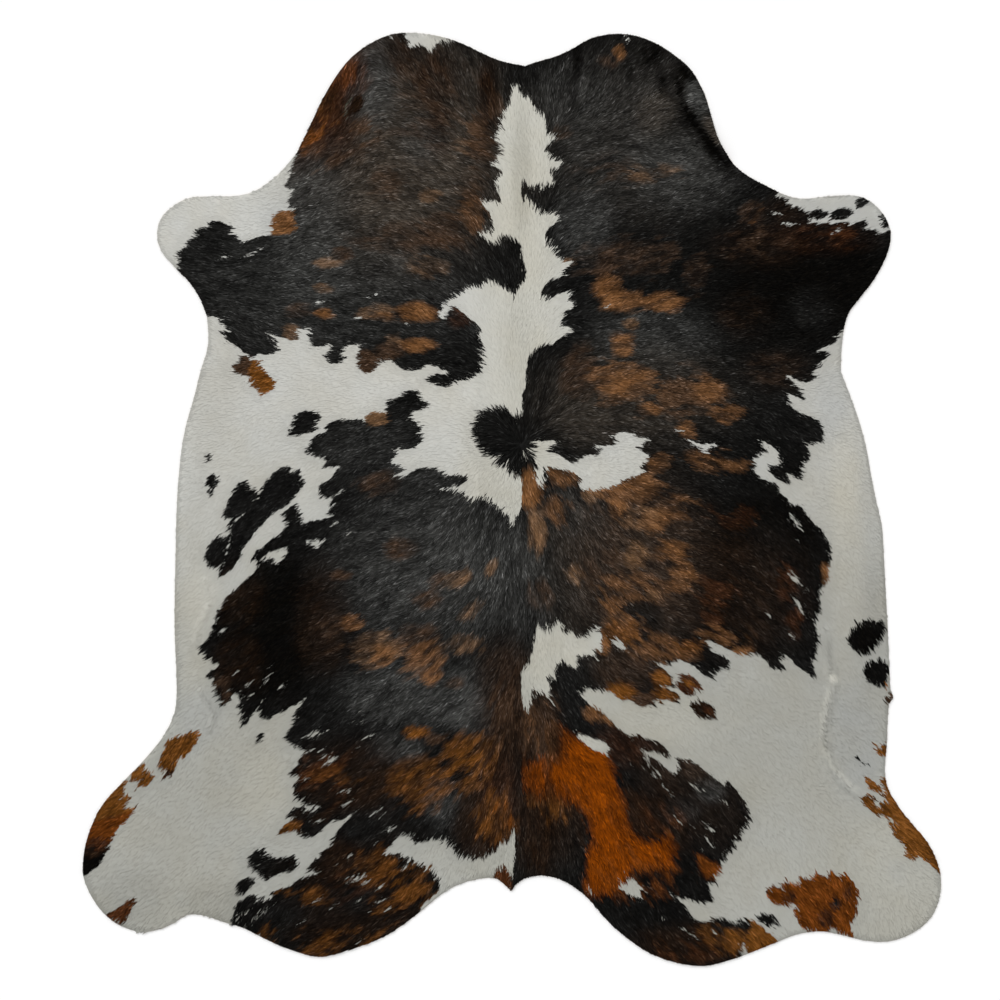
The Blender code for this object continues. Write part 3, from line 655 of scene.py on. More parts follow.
# Faint clouds in the white hair, and the painted highlight and shade of the right flank's crease, later ones
# over earlier ones.
CLOUDS = (
    *tones(Hair.FAWN, (190, 350, 340, 480, 0.06), (835, 440, 885, 640, 0.06), (120, 750, 290, 880, 0.05),
           (600, 690, 830, 860, 0.05), (850, 850, 940, 935, 0.05), (187, 455, 202, 570, 0.05),
           (92, 870, 165, 935, 0.18), (180, 885, 250, 925, 0.2)),
    *tones(Hair.SLATE, (818, 370, 850, 430, 0.2), (255, 185, 292, 232, 0.14), (186, 335, 235, 440, 0.12)),
    *tones(Hair.CREAM, (832, 430, 858, 520, 0.25), (832, 470, 864, 660, 0.22), (186, 565, 220, 630, 0.26),
           (183, 630, 205, 720, 0.12), (600, 690, 720, 745, 0.18)),
    *tones(Hair.FAWN, (866, 560, 890, 630, 0.08), (838, 433, 848, 441, 0.14)),
    # The first is painted shade beside the right flank's crease.
    *tones(Hair.SLATE, (830, 690, 882, 790, 0.26), (180, 690, 222, 745, 0.22)),
    *tones(Hair.FAWN, (822, 560, 886, 680, 0.1)),
    # The four turned ones and the small one after them are painted highlights on the right flank's crease.
    *tones(Hair.WHITE, (495, 90, 550, 360, 0.1), (815, 689, 843, 692.5, 0.24, 106),
           (806, 719, 840, 722, 0.17, 97), (811, 752, 841, 755.5, 0.2, 66),
           (828, 777, 860, 780.5, 0.26, 45), (831, 676, 837, 682, 0.6), (522, 618, 608, 706, 0.42),
           (558, 728, 606, 756, 0.4)),
    # Painted shade along the right flank's crease.
    *tones(Hair.BLACK, (816, 658, 844, 659.5, 0.16, 80), (804, 721, 850, 722.5, 0.16, 101)),
    *tones(Hair.CREAM, (240, 760, 290, 830, 0.14), (860, 800, 940, 935, 0.14)),
    *tones(Hair.FAWN, (513, 108, 530, 236, 0.2), (502, 292, 532, 400, 0.1)),
    *tones(Hair.SLATE, (890, 858, 906, 880, 0.14)),
)

# The way that the hair lies, out of the whorl on the back and away from the backbone.
LIES = tuple(Lie(*noted) for noted in (
    # The neck and the shoulders.
    (330, 100, 112), (350, 75, 100), (360, 135, 135), (330, 165, 140), (300, 190, 150), (300, 240, 165),
    (250, 240, 165), (330, 260, 170), (380, 220, 180), (400, 130, 190), (450, 210, 190), (440, 190, 195),
    (440, 240, 205), (480, 150, 195), (500, 150, 200), (490, 270, 235), (508, 240, 250), (400, 60, 235),
    (450, 60, 250), (500, 80, 265), (215, 230, 195), (190, 250, 190), (235, 345, 213), (270, 335, 200),
    (300, 330, 187), (315, 310, 182), (258, 372, 150), (240, 290, 180), (200, 215, 200), (190, 400, 165),
    (520, 310, 270), (500, 300, 250), (538, 318, 300), (446, 298, 195), (568, 291, 335), (572, 330, 5),
    (520, 200, 270), (520, 130, 270), (522, 250, 270), (575, 150, 350), (575, 220, 352), (575, 270, 355),
    (600, 60, 300), (650, 60, 320), (640, 170, 12), (620, 265, 350), (660, 200, 347), (755, 210, 330),
    (700, 120, 350), (760, 250, 355), (780, 300, 0), (820, 355, 332), (850, 225, 340), (865, 204, 330),
    (750, 330, 3), (870, 260, 340), (840, 400, 25), (820, 215, 340),
    # From the whorl to the flanks.
    (450, 350, 180), (600, 350, 0), (515, 397, 255), (529, 397, 285), (521, 425, 270), (500, 415, 212),
    (541, 415, 325), (500, 440, 180), (542, 447, 0), (521, 472, 90), (509, 482, 125), (534, 482, 50),
    (508, 503, 125), (537, 503, 50), (521, 515, 90), (508, 528, 115), (542, 528, 62), (470, 380, 200),
    (432, 487, 160), (335, 490, 145), (260, 440, 145), (700, 430, 12), (600, 440, 15), (780, 450, 35),
    (840, 470, 45), (660, 470, 10), (562, 442, 14), (400, 420, 165), (480, 430, 172),
    # The left of the back.
    (510, 560, 90), (490, 560, 120), (450, 580, 152), (400, 550, 172), (400, 650, 157), (350, 640, 162),
    (490, 650, 125), (460, 700, 147), (370, 735, 142), (310, 735, 150), (245, 705, 135), (270, 690, 142),
    (230, 550, 128), (200, 650, 150), (175, 755, 125), (110, 815, 145), (270, 865, 155), (250, 915, 122),
    (330, 790, 150), (400, 790, 147), (450, 770, 145), (470, 830, 125), (500, 830, 100), (515, 850, 90),
    (350, 900, 145), (380, 930, 150), (320, 945, 155),
    # The right of the back.
    (537, 560, 88), (570, 580, 48), (640, 560, 22), (700, 560, 15), (600, 620, 40), (700, 620, 25),
    (640, 690, 28), (560, 700, 53), (590, 745, 35), (540, 740, 90), (540, 820, 85), (600, 820, 60),
    (640, 800, 50), (680, 790, 43), (640, 925, 55), (700, 930, 33), (720, 930, 45), (800, 530, 50),
    (800, 600, 53), (790, 570, 45), (770, 615, 38), (810, 660, 50), (870, 640, 60), (905, 835, 36),
    (820, 910, 48), (850, 930, 80), (872, 790, 40),
))

# The creases that the hide has kept from being folded and rolled, and the edges of its backbone.
CREASES = (
    Crease("roll beside the neck", 0.0130, 0.034, (678, 72, 687, 92, 699, 118, 708, 138, 722, 155)),
    Crease("second roll of the neck", 0.0060, 0.040, (652, 70, 664, 96, 674, 122, 688, 146)),
    Crease("right flank, upper", 0.0055, 0.017, (826, 632, 829, 655, 833, 679, 831, 700, 825, 728,
        825, 742)),
    Crease("right flank, lower", 0.0055, 0.017, (825, 742, 828, 756, 837, 777, 848, 788, 862, 797)),
    Crease("left flank, upper", 0.0028, 0.014, (205, 582, 211, 596, 207, 612, 199, 628, 196, 644)),
    Crease("left flank, lower", 0.0035, 0.012, (201, 690, 208, 702, 213, 716, 210, 730)),
    Crease("backbone, left of it", 0.0035, 0.036, (497, 560, 494, 660, 490, 760, 492, 850)),
    Crease("backbone, right of it", 0.0035, 0.036, (545, 545, 546, 640, 549, 740, 540, 840)),
)

# The legs, the neck and the rump stand a little off the floor.
SWELLS = (
    Swell("left of the neck", 0.0060, 0.16, 352, 112),
    Swell("left foreleg", 0.0040, 0.11, 205, 236),
    Swell("right foreleg", 0.0050, 0.12, 848, 236),
    Swell("left hind leg", 0.0050, 0.14, 128, 866),
    Swell("right hind leg", 0.0050, 0.14, 892, 886),
    Swell("right rump", 0.0040, 0.15, 690, 902),
)


def ramp(values: np.ndarray, start: float, end: float) -> np.ndarray:
    """How far each value is on the way from the start to the end, from 0 to 1."""
    return np.clip((values - start) / (end - start), 0, 1)


def hump(values: np.ndarray, middle: float, reach: float) -> np.ndarray:
    """1 for a value at the middle, falling away smoothly past the reach to each side."""
    return np.exp(-((values - middle) / reach) ** 2)


def between(lattice: np.ndarray, spots: np.ndarray, eased: bool = False) -> np.ndarray:
    """What a square lattice holds between its points.

    Args:
        lattice: A number or a vector at each of its points.
        spots: The spots, as rows of column and row.
        eased: Whether it passes each point without a kink.

    Returns:
        A number or a vector for each spot.
    """
    spots = np.clip(spots, 0, len(lattice) - 1.001)
    cells = spots.astype(int)
    part = spots - cells
    if eased:
        part = part * part * (3 - 2 * part)
    across, down = part.T.reshape(2, -1, *(1,) * (lattice.ndim - 2))
    column, row = cells.T
    above = lattice[row, column] * (1 - across) + lattice[row, column + 1] * across
    below = lattice[row + 1, column] * (1 - across) + lattice[row + 1, column + 1] * across
    return above * (1 - down) + below * down


@dataclass
class Grain:
    """Random numbers from 0 to 1 on a square lattice, smooth between its points and the same each run."""

    pitch: float
    seed: int
    # How many of its points lie beyond the plan on each side.
    beyond: int = 20
    lattice: np.ndarray = field(init=False)

    def __post_init__(self) -> None:
        """Fills the lattice, a few points wider than the plan."""
        points = math.ceil(PLAN_SPAN / self.pitch) + 2 * self.beyond
        self.lattice = np.random.default_rng(self.seed).random((points, points))

    def at(self, places: np.ndarray) -> np.ndarray:
        """The grain at places on the plan."""
        return between(self.lattice, places / self.pitch + self.beyond, eased=True)

    def streaked(self, places: np.ndarray, ways: np.ndarray, reach: float, steps: int = 4) -> np.ndarray:
        """The grain drawn out along the hair.

        Args:
            places: Places on the plan.
            ways: The way that the hair lies at each, as unit vectors on the plan.
            reach: How far the streaks run to each side, in squares.
            steps: How many places to each side are looked at.

        Returns:
            Numbers about 0.5, with the spread of the grain itself kept.
        """
        total = np.zeros(len(places))
        for step in range(-steps, steps + 1):
            total += self.at(places + ways * (reach * step / steps)) - 0.5
        kept = math.sqrt(min(1 + 2 * reach / self.pitch, 2 * steps + 1))
        return np.clip(0.5 + total / (2 * steps + 1) * kept, 0, 1)


@dataclass(frozen=True)
class Relief:
    """How the hide's underside stands off the floor: creases, broad swells and a slight waviness."""

    creases: Sequence[Crease] = CREASES
    swells: Sequence[Swell] = SWELLS
    wave: float = 0.6 * MM
    wave_pitch: float = 34.0
    spline_steps: int = 8

    def height(self, points: np.ndarray) -> np.ndarray:
        """How high the underside stands.

        Args:
            points: Points on the floor, in metres, as rows of x and y.

        Returns:
            The height at each, in metres.
        """
        height = self.wave * Grain(self.wave_pitch, seed=11).at(to_plan(points))
        for swell in self.swells:
            middle = to_floor(np.array((swell.across, swell.down)))
            height += swell.rise * self._bump(np.linalg.norm(points - middle, axis=1), swell.radius)
        for crease in self.creases:
            crest = self._smooth(to_floor(np.array(crease.crest).reshape(-1, 2)))
            low, high = crest.min(axis=0) - crease.reach, crest.max(axis=0) + crease.reach
            near = np.flatnonzero(((points > low) & (points < high)).all(axis=1))
            height[near] += crease.rise * self._bump(self._distance(points[near], crest), crease.reach)
        return height

    def _smooth(self, knots: np.ndarray) -> np.ndarray:
        """Draws a smooth curve.

        Args:
            knots: The points that it passes through.

        Returns:
            Points along the Catmull-Rom curve through them.
        """
        ends = np.vstack((2 * knots[0] - knots[1], knots, 2 * knots[-1] - knots[-2]))
        curve = []
        for p0, p1, p2, p3 in zip(ends, ends[1:], ends[2:], ends[3:]):
            for t in np.arange(self.spline_steps) / self.spline_steps:
                curve.append(0.5 * (2 * p1 + (p2 - p0) * t + (2 * p0 - 5 * p1 + 4 * p2 - p3) * t ** 2
                                    + (3 * p1 - p0 - 3 * p2 + p3) * t ** 3))
        return np.array([*curve, knots[-1]])

    @staticmethod
    def _distance(points: np.ndarray, line: np.ndarray) -> np.ndarray:
        """The shortest distance to a line of straight pieces.

        Args:
            points: The points that it is measured from.
            line: The line's corners.

        Returns:
            The distance of each point.
        """
        nearest = np.full(len(points), np.inf)
        for start, end in zip(line, line[1:]):
            piece = end - start
            share = np.clip((points - start) @ piece / (piece @ piece), 0, 1)
            away = points - start - share[:, None] * piece
            nearest = np.minimum(nearest, np.linalg.norm(away, axis=1))
        return nearest

    @staticmethod
    def _bump(distance: np.ndarray, reach: float) -> np.ndarray:
        """A rounded rise from 0 at the reach to 1 in the middle."""
        return 0.5 + 0.5 * np.cos(math.pi * np.clip(distance / reach, 0, 1))


@dataclass
class Raster:
    """A fine grid of numbers over the whole plan, which outlines are filled in on."""

    cell: float = 0.5
    values: np.ndarray = field(init=False)

    def __post_init__(self) -> None:
        """Starts with nothing filled in."""
        count = round(PLAN_SPAN / self.cell)
        self.values = np.zeros((count, count), dtype=np.uint8)

    def fill(self, edges: np.ndarray, value: int) -> None:
        """Fills what the closed outline goes round.

        Args:
            edges: The outline's edges, each as two places on the plan, in any order.
            value: The number to fill in.
        """
        crossed = np.zeros(self.values.shape, dtype=np.uint8)
        for (start_x, start_y), (end_x, end_y) in edges / self.cell - 0.5:
            if start_y > end_y:
                start_x, start_y, end_x, end_y = end_x, end_y, start_x, start_y
            rows = np.arange(max(0, math.ceil(start_y)), min(len(crossed), math.ceil(end_y)))
            if len(rows):
                across = start_x + (rows - start_y) * (end_x - start_x) / (end_y - start_y)
                crossed[rows, np.clip(np.ceil(across), 0, len(crossed) - 1).astype(int)] ^= 1
        rows = np.flatnonzero(crossed.any(axis=1))
        covered = np.cumsum(crossed[rows], axis=1, dtype=np.int32) % 2 == 1
        self.values[rows] = np.where(covered, value, self.values[rows])

    def at(self, places: np.ndarray) -> np.ndarray:
        """The numbers at places on the plan."""
        spots = np.clip((places / self.cell).astype(int), 0, len(self.values) - 1)
        return self.values[spots[:, 1], spots[:, 0]]

    def grown(self, distance: float) -> Raster:
        """This mask of 0 and 1 with its rim moved.

        Args:
            distance: How far outwards, in squares, or inwards where it is less than 0.

        Returns:
            A new mask.
        """
        moved = Raster(self.cell)
        moved.values = self.values.copy()
        either = np.maximum if distance > 0 else np.minimum
        for turn in np.arange(16) * math.pi / 8:
            way = np.array((math.sin(turn), math.cos(turn)))
            shift = np.rint(abs(distance) / self.cell * way).astype(int)
            moved.values = either(moved.values, np.roll(self.values, shift, axis=(0, 1)))
        return moved


def closed(outline: Sequence[float | np.ndarray]) -> np.ndarray:
    """The edges of a closed outline, each as two places."""
    places = np.array(outline, dtype=float).reshape(-1, 2)
    return np.stack((places, np.roll(places, -1, axis=0)), axis=1)


@dataclass
class HairFlow:
    """Which way the hair lies all over the hide, smoothed from the places where it was noted."""

    lies: Sequence[Lie] = LIES
    pitch: float = 10.0
    nearness: float = 3.0
    ways: np.ndarray = field(init=False)

    def __post_init__(self) -> None:
        """Works the way out on a lattice, each noted place counting by its nearness."""
        count = math.ceil(PLAN_SPAN / self.pitch) + 2
        down, across = np.mgrid[0:count, 0:count] * self.pitch
        total = np.zeros((count, count, 2))
        for lie in self.lies:
            weight = (np.hypot(across - lie.across, down - lie.down) + self.pitch) ** -self.nearness
            turn = math.radians(lie.turn)
            total += weight[..., None] * (math.cos(turn), math.sin(turn))
        self.ways = total / np.linalg.norm(total, axis=2, keepdims=True)

    def at(self, places: np.ndarray) -> np.ndarray:
        """Unit vectors on the plan, along the hair, at places on it."""
        way = between(self.ways, places / self.pitch)
        return way / np.maximum(np.linalg.norm(way, axis=1, keepdims=True), 1e-6)


def lit(colour: np.ndarray, factor: np.ndarray, greyest: float = 0.6) -> np.ndarray:
    """The colours made darker or brighter, where the light added to the brighter ones is a painted sheen.

    Args:
        colour: Rows of red, green and blue.
        factor: How much darker or brighter each becomes.
        greyest: How much greyer than the hair the painted sheen on the dullest hair is. Deep hair keeps its
            colour.

    Returns:
        Rows of red, green and blue.
    """
    depth = 1 - colour.min(axis=1, keepdims=True) / colour.max(axis=1, keepdims=True)
    greying = greyest * (1 - depth ** 2)
    shine = (1 - greying) * colour + greying * colour.mean(axis=1, keepdims=True)
    factor = factor[:, None]
    return colour * np.minimum(factor, 1) + shine * np.maximum(factor - 1, 0)


def mix_in(colour: np.ndarray, hair: Hair, share: np.ndarray, near: np.ndarray | slice = slice(None)) -> None:
    """Mixes shares of one kind of hair into the colours, all of them or those that are near."""
    colour[near] += (np.array(hair.value) - colour[near]) * share[:, None]


@dataclass
class CoatColours:
    """The colour of the coat all over the hide.

    Two numbers for a light are the least that a hair gets, and what its streak adds.
    """

    flow: HairFlow
    patches: Sequence[Patch] = PATCHES
    licks: Sequence[Lick] = LICKS
    tints_and_sheens: Sequence[Tone] = TINTS_AND_SHEENS
    brindle: Sequence[Tone] = BRINDLE
    clouds: Sequence[Tone] = CLOUDS
    # How far hair of one patch reaches into the next, in squares, and how much tufts, strands and locks
    # differ in it.
    ragged: float = 1.55
    raggedness: tuple[float, float, float] = (1.8, 2.6, 3.0)
    # A lick's strands: how wide they are, in squares, between which shares of it they start and end, how
    # close they draw together, and how far along they are widest.
    strand_width: float = 1.3
    strand_starts: tuple[float, float] = (-0.1, 0.35)
    strand_ends: tuple[float, float] = (0.6, 1.15)
    drawn_together: float = 0.7
    widest: float = 0.4
    # The tones fill their boxes and a square more, fade by this much, and end at this squared distance.
    tone_margin: float = 1.0
    tone_fade: float = 0.7
    tone_end: float = 3.0
    # The white hair of the hind part is greyer, from one place down the plan to another.
    hind_white: tuple[float, float, float] = (0.409, 0.408, 0.366)
    hind_part: tuple[float, float] = (400.0, 700.0)
    # Painted shade on the right, fading out towards the tail: how much, and from where to where across and up
    # the plan.
    dulled: float = 0.15
    right_shade_across: tuple[float, float] = (600.0, 850.0)
    right_shade_up: tuple[float, float] = (880.0, 580.0)
    # Away from the backbone it is cooler, and less so in the hind part.
    backbone: tuple[float, float] = (521.0, 50.0)
    aside: tuple[float, float, float] = (-0.055, -0.040, 0.012)
    less_behind: float = 0.6
    # Faint yellow clouds in it: the shares of the large and the small ones, and what they take away.
    cloud_shares: tuple[float, float] = (0.65, 0.35)
    cloud_contrast: tuple[float, float] = (1.6, -0.45)
    yellowing: tuple[float, float, float] = (0.04, 0.06, 0.10)
    white_light: tuple[float, float] = (0.967, 0.015)
    # Where warm hair shows first in the dark hair: how sharply, and how much broad and thin streaks count.
    sharpness: float = 5.3
    broad_share: float = 0.8
    thin_share: float = 0.45
    # How gradually warm hair comes in, and how evenly each soft tint and painted sheen does.
    softness: float = 1.6
    tint_and_sheen_light: tuple[float, float] = (1.25, -0.5)
    strand_light: tuple[float, float] = (0.56, 0.66)
    lock_light: tuple[float, float] = (1.3, -0.6)
    broad_light: tuple[float, float] = (0.88, 0.24)
    # How many spots round a place are looked at for the hair that shades off, set out as in a sunflower.
    looks_round: int = 12
    sunflower_turn: float = math.radians(137.5)
    kinds: list[Hair] = field(init=False)
    map: Raster = field(init=False)

    def __post_init__(self) -> None:
        """Fills the patches in, and then the licks over them."""
        self.kinds = list(Hair)
        self.map = Raster()
        for patch in self.patches:
            self.map.fill(closed(patch.outline), self.kinds.index(patch.hair))
        random = np.random.default_rng(61)
        for lick in self.licks:
            for outline in self._strands(lick, random):
                self.map.fill(closed(outline), self.kinds.index(lick.hair))

    def _strands(self, lick: Lick, random: np.random.Generator) -> list[tuple[np.ndarray, ...]]:
        """Splits a lick into strands side by side, which start and end unevenly.

        Args:
            lick: The lick. One of ink is a fold's painted shadow and stays whole.
            random: The source of what differs from strand to strand.

        Returns:
            The outline of each strand.
        """
        start, along = np.array(lick.start), np.array(lick.end) - np.array(lick.start)
        side = along[::-1] * (1, -1) / np.linalg.norm(along)
        whole = lick.hair is Hair.INK_AND_FOLD_SHADE
        count = 1 if whole else max(2, round(lick.width / self.strand_width))
        half = side * (lick.width if whole else self.strand_width) / 2
        outlines = []
        for share in (np.arange(count) + 0.5) / count - 0.5:
            shift = side * share * lick.width
            root = start + shift + along * (0 if whole else random.uniform(*self.strand_starts))
            end = start + shift * self.drawn_together
            tip = end + along * (1 if whole else random.uniform(*self.strand_ends))
            outlines.append((root, root + (tip - root) * self.widest + half,
                             tip, root + (tip - root) * (1 - self.widest) - half))
        return outlines

    def at(self, places: np.ndarray, reach: np.ndarray | float = 1.0) -> np.ndarray:
        """The hair's colour at places on the plan.

        Args:
            places: The places.
            reach: How long the hair is there, as a share of the usual.

        Returns:
            Rows of red, green and blue.
        """
        ways = self.flow.at(places)
        tuft = Grain(2.6, seed=21).streaked(places, ways, reach=6.0)
        strand = Grain(1.0, seed=22).streaked(places, ways, reach=1.6, steps=2)
        lock = Grain(0.6, seed=23).at(places)
        by_tuft, by_strand, by_lock = self.raggedness
        ragged = (tuft - 0.5) * by_tuft + (strand - 0.5) * by_strand + (lock - 0.5) * by_lock
        spots = places + ways * (self.ragged * reach * ragged)[:, None]
        kind = self.map.at(spots)
        white = kind == self.kinds.index(Hair.WHITE)
        dark = ~white
        colours = np.empty((len(places), 3))
        colours[white] = self._white(places[white], strand[white])
        colours[dark] = self._dark(places[dark], ways[dark], strand[dark], kind[dark], spots[dark])
        return colours

    def _white(self, places: np.ndarray, strand: np.ndarray) -> np.ndarray:
        """The colour of the white hair: greyer towards the tail, painted shade on the right, warmer by the
        backbone.

        Args:
            places: Places on the plan.
            strand: How bright each strand is, from 0 to 1.

        Returns:
            Rows of red, green and blue.
        """
        across, down = places.T
        lower = ramp(down, *self.hind_part)[:, None]
        colour = (1 - lower) * Hair.WHITE.value + lower * np.array(self.hind_white)
        # Painted shade on the right, fading out towards the tail.
        colour *= 1 - self.dulled * (ramp(across, *self.right_shade_across) * ramp(down, *self.right_shade_up))[:, None]
        aside = 1 - hump(across, *self.backbone)[:, None]
        colour *= 1 + aside * (1 - self.less_behind * lower) * np.array(self.aside)
        # The clouds hold the painted highlight and shade of the right flank's crease.
        for tone in self.clouds:
            near, weight = self._within(tone, places)
            mix_in(colour, tone.hair, tone.strength * weight, near)
        large, small = self.cloud_shares
        cloud = large * Grain(44, seed=31).at(places) + small * Grain(15, seed=32).at(places)
        contrast, level = self.cloud_contrast
        colour *= 1 - np.array(self.yellowing) * np.clip(contrast * cloud[:, None] + level, 0, 1)
        return colour * self._light(self.white_light, strand)[:, None]

    def _dark(self, places: np.ndarray, ways: np.ndarray, strand: np.ndarray, kind: np.ndarray,
              spots: np.ndarray) -> np.ndarray:
        """The colour of the dark hair: its own, with soft tints, painted sheen and shade, and the streaked
        brindle drawn in.

        Args:
            places: Places on the plan.
            ways: The way that the hair lies at each.
            strand: How bright each strand is, from 0 to 1.
            kind: The number of the patch's hair.
            spots: Where on the plan each patch was looked up.

        Returns:
            Rows of red, green and blue.
        """
        broad = Grain(12, seed=37).streaked(places, ways, reach=12.0, steps=3)
        wide = Grain(4.6, seed=33).streaked(places, ways, reach=7.0, steps=3)
        thin = Grain(1.2, seed=34).streaked(places, ways, reach=3.0, steps=3)
        streak = wide - 0.5 + self.broad_share * (broad - 0.5) + self.thin_share * (thin - 0.5)
        # Warm hair shows first where this is low.
        rank = 1 / (1 + np.exp(-self.sharpness * streak))
        ink_and_fold_shade = kind == self.kinds.index(Hair.INK_AND_FOLD_SHADE)
        colour = np.where(ink_and_fold_shade[:, None], Hair.INK_AND_FOLD_SHADE.value, Hair.BLACK.value)
        # Soft tints, painted sheen, and painted shade in the neck's folds.
        for tone in self.tints_and_sheens:
            near, weight = self._within(tone, places)
            share = np.clip(tone.strength * weight * self._light(self.tint_and_sheen_light, rank[near]), 0, 1)
            mix_in(colour, tone.hair, share * ~ink_and_fold_shade[near], near)
        shares = self._shares(spots, kind)
        mix_in(colour, Hair.EMBER, self._shown(shares.pop(Hair.EMBER), rank))
        for tone in self.brindle:
            near, weight = self._within(tone, places)
            mix_in(colour, tone.hair, self._shown(tone.strength * weight, rank[near]) * ~ink_and_fold_shade[near], near)
        for hair, share in shares.items():
            mix_in(colour, hair, self._shown(share, rank))
        colour[kind == self.kinds.index(Hair.FAWN)] = Hair.FAWN.value
        lights = ((self.strand_light, strand), (self.lock_light, wide), (self.broad_light, broad))
        return lit(colour, math.prod(self._light(light, share) for light, share in lights))

    @staticmethod
    def _light(light: tuple[float, float], share: np.ndarray) -> np.ndarray:
        """The least light, and what each share of the rest adds to it."""
        return light[0] + light[1] * share

    def _shown(self, amount: np.ndarray, rank: np.ndarray) -> np.ndarray:
        """How much of a warm hair shows, from how much there is and how soon it shows."""
        return np.clip((amount * (1 + self.softness) - rank) / self.softness, 0, 1)

    def _shares(self, spots: np.ndarray, kind: np.ndarray) -> dict[Hair, np.ndarray]:
        """How much of the dark hair round each spot is of each kind that shades off.

        Args:
            spots: Places on the plan.
            kind: The number of the hair at each.

        Returns:
            For each such kind, its share at every spot, from 0 to 1.
        """
        white = self.kinds.index(Hair.WHITE)
        shares = {}
        for hair, reach in SHADING_OFF.items():
            number = self.kinds.index(hair)
            same, dark = (kind == number).astype(float), np.ones(len(spots))
            for step in range(self.looks_round):
                turn = step * self.sunflower_turn
                away = reach * math.sqrt((step + 1) / self.looks_round)
                found = self.map.at(spots + away * np.array((math.cos(turn), math.sin(turn))))
                same += found == number
                dark += found != white
            shares[hair] = same / dark
        return shares

    def _within(self, tone: Tone, places: np.ndarray) -> tuple[np.ndarray, np.ndarray]:
        """Finds where a tone lies.

        Args:
            tone: The tone.
            places: Places on the plan.

        Returns:
            The numbers of the places that it reaches, and how much of it each gets, from 0 to 1.
        """
        offset = places - np.array(((tone.left + tone.right) / 2, (tone.top + tone.bottom) / 2))
        turn = math.radians(tone.turn)
        cosine, sine = math.cos(turn), math.sin(turn)
        half_width = (tone.right - tone.left) / 2 + self.tone_margin
        half_height = (tone.bottom - tone.top) / 2 + self.tone_margin
        along = (offset[:, 0] * cosine + offset[:, 1] * sine) / half_width
        across = (offset[:, 1] * cosine - offset[:, 0] * sine) / half_height
        squared = along ** 2 + across ** 2
        near = np.flatnonzero(squared < self.tone_end)
        return near, np.exp(-self.tone_fade * squared[near] ** 2)


# What a socket can be fed: the output of another node, or a plain value.
Feed = Union["Shade", float, tuple]


class Shade:
    """A socket that carries a number, with the arithmetic written as Python expressions."""

    def __init__(self, nodes: Nodes, socket: bpy.types.NodeSocket) -> None:
        """Wraps the socket of a node."""
        self.nodes = nodes
        self.socket = socket

    def _maths(self, operation: str, *values: Feed) -> Shade:
        """One Math node on these values."""
        return self.nodes.add("Math", {"operation": operation}, dict(enumerate(values)))

    def __add__(self, other: Feed) -> Shade:
        """This plus the other."""
        return self._maths("ADD", self, other)

    def __sub__(self, other: Feed) -> Shade:
        """This less the other."""
        return self._maths("SUBTRACT", self, other)

    def __mul__(self, other: Feed) -> Shade:
        """This times the other."""
        return self._maths("MULTIPLY", self, other)


class Nodes:
    """The node tree of one new material."""

    def __init__(self, name: str) -> None:
        """Makes the material with its Principled shader alone."""
        self.material = bpy.data.materials.new(name)
        self.material.use_nodes = True
        self.tree = self.material.node_tree
        self.surface = self.tree.nodes["Principled BSDF"]

    def add(self, kind: str, settings: dict[str, object], values: dict[int | str, Feed],
            output: int | str = 0) -> Shade:
        """Adds one node.

        Args:
            kind: The node's type, without the words ShaderNode before it.
            settings: The node's own settings, set first. A colour ramp's stops come as "stops".
            values: A value or a link for each of its sockets, by number or name.
            output: The socket that is wanted from it.

        Returns:
            That output, wrapped.
        """
        node = self.tree.nodes.new("ShaderNode" + kind)
        for setting, value in settings.items():
            if setting == "stops":
                self._set_stops(node.color_ramp, value)
            else:
                setattr(node, setting, value)
        for socket, value in values.items():
            self.feed(node.inputs[socket], value)
        return Shade(self, node.outputs[output])

    def place(self) -> Shade:
        """The place on the object, in metres."""
        return self.add("TexCoord", {}, {}, "Object")

    def coat(self) -> Shade:
        """The colour that the mesh carries for the coat."""
        return self.add("Attribute", {"attribute_name": COAT}, {}, "Color")

    def noise(self, place: Shade, scale: float, detail: float, roughness: float = 0.5) -> Shade:
        """Soft random clouds at a place."""
        values = {"Vector": place, "Scale": scale, "Detail": detail, "Roughness": roughness}
        return self.add("TexNoise", {}, values)

    def bump(self, height: Shade, strength: float, distance: float) -> Shade:
        """The normals of a fine relief."""
        return self.add("Bump", {}, {"Height": height, "Strength": strength, "Distance": distance})

    def feed(self, socket: bpy.types.NodeSocket, value: Feed) -> None:
        """Links a wrapped output to the socket, or sets a plain value on it."""
        if isinstance(value, Shade):
            self.tree.links.new(value.socket, socket)
        else:
            socket.default_value = value

    def dress(self, **values: Feed) -> bpy.types.Material:
        """Feeds the Principled shader, with a socket's name in small letters and its spaces underlined."""
        sockets = {socket.name.lower().replace(" ", "_"): socket for socket in self.surface.inputs}
        for name, value in values.items():
            self.feed(sockets[name], value)
        return self.material

    @staticmethod
    def _set_stops(ramp: bpy.types.ColorRamp, stops: Sequence[tuple[float, tuple]]) -> None:
        """Gives the ramp these stops, each a place from 0 to 1 and a colour."""
        while len(ramp.elements) < len(stops):
            ramp.elements.new(1.0)
        for element, (place, colour) in zip(ramp.elements, stops):
            element.position = place
            element.color = (*colour, 1.0)


@dataclass(frozen=True)
class CoatFinish:
    """The combed hair: each lock carries its own colour, and the gloss varies in soft clouds."""

    gloss: tuple[float, float] = (0.42, 0.62)
    specular: float = 0.02
    cloud_scale: float = 9.0

    def material(self) -> bpy.types.Material:
        """The material of every lock."""
        nodes = Nodes("combed hair")
        cloud = nodes.noise(nodes.place(), self.cloud_scale, detail=3.0)
        low, high = self.gloss
        return nodes.dress(base_color=nodes.coat(), roughness=cloud * (high - low) + low,
                           specular_ior_level=self.specular)


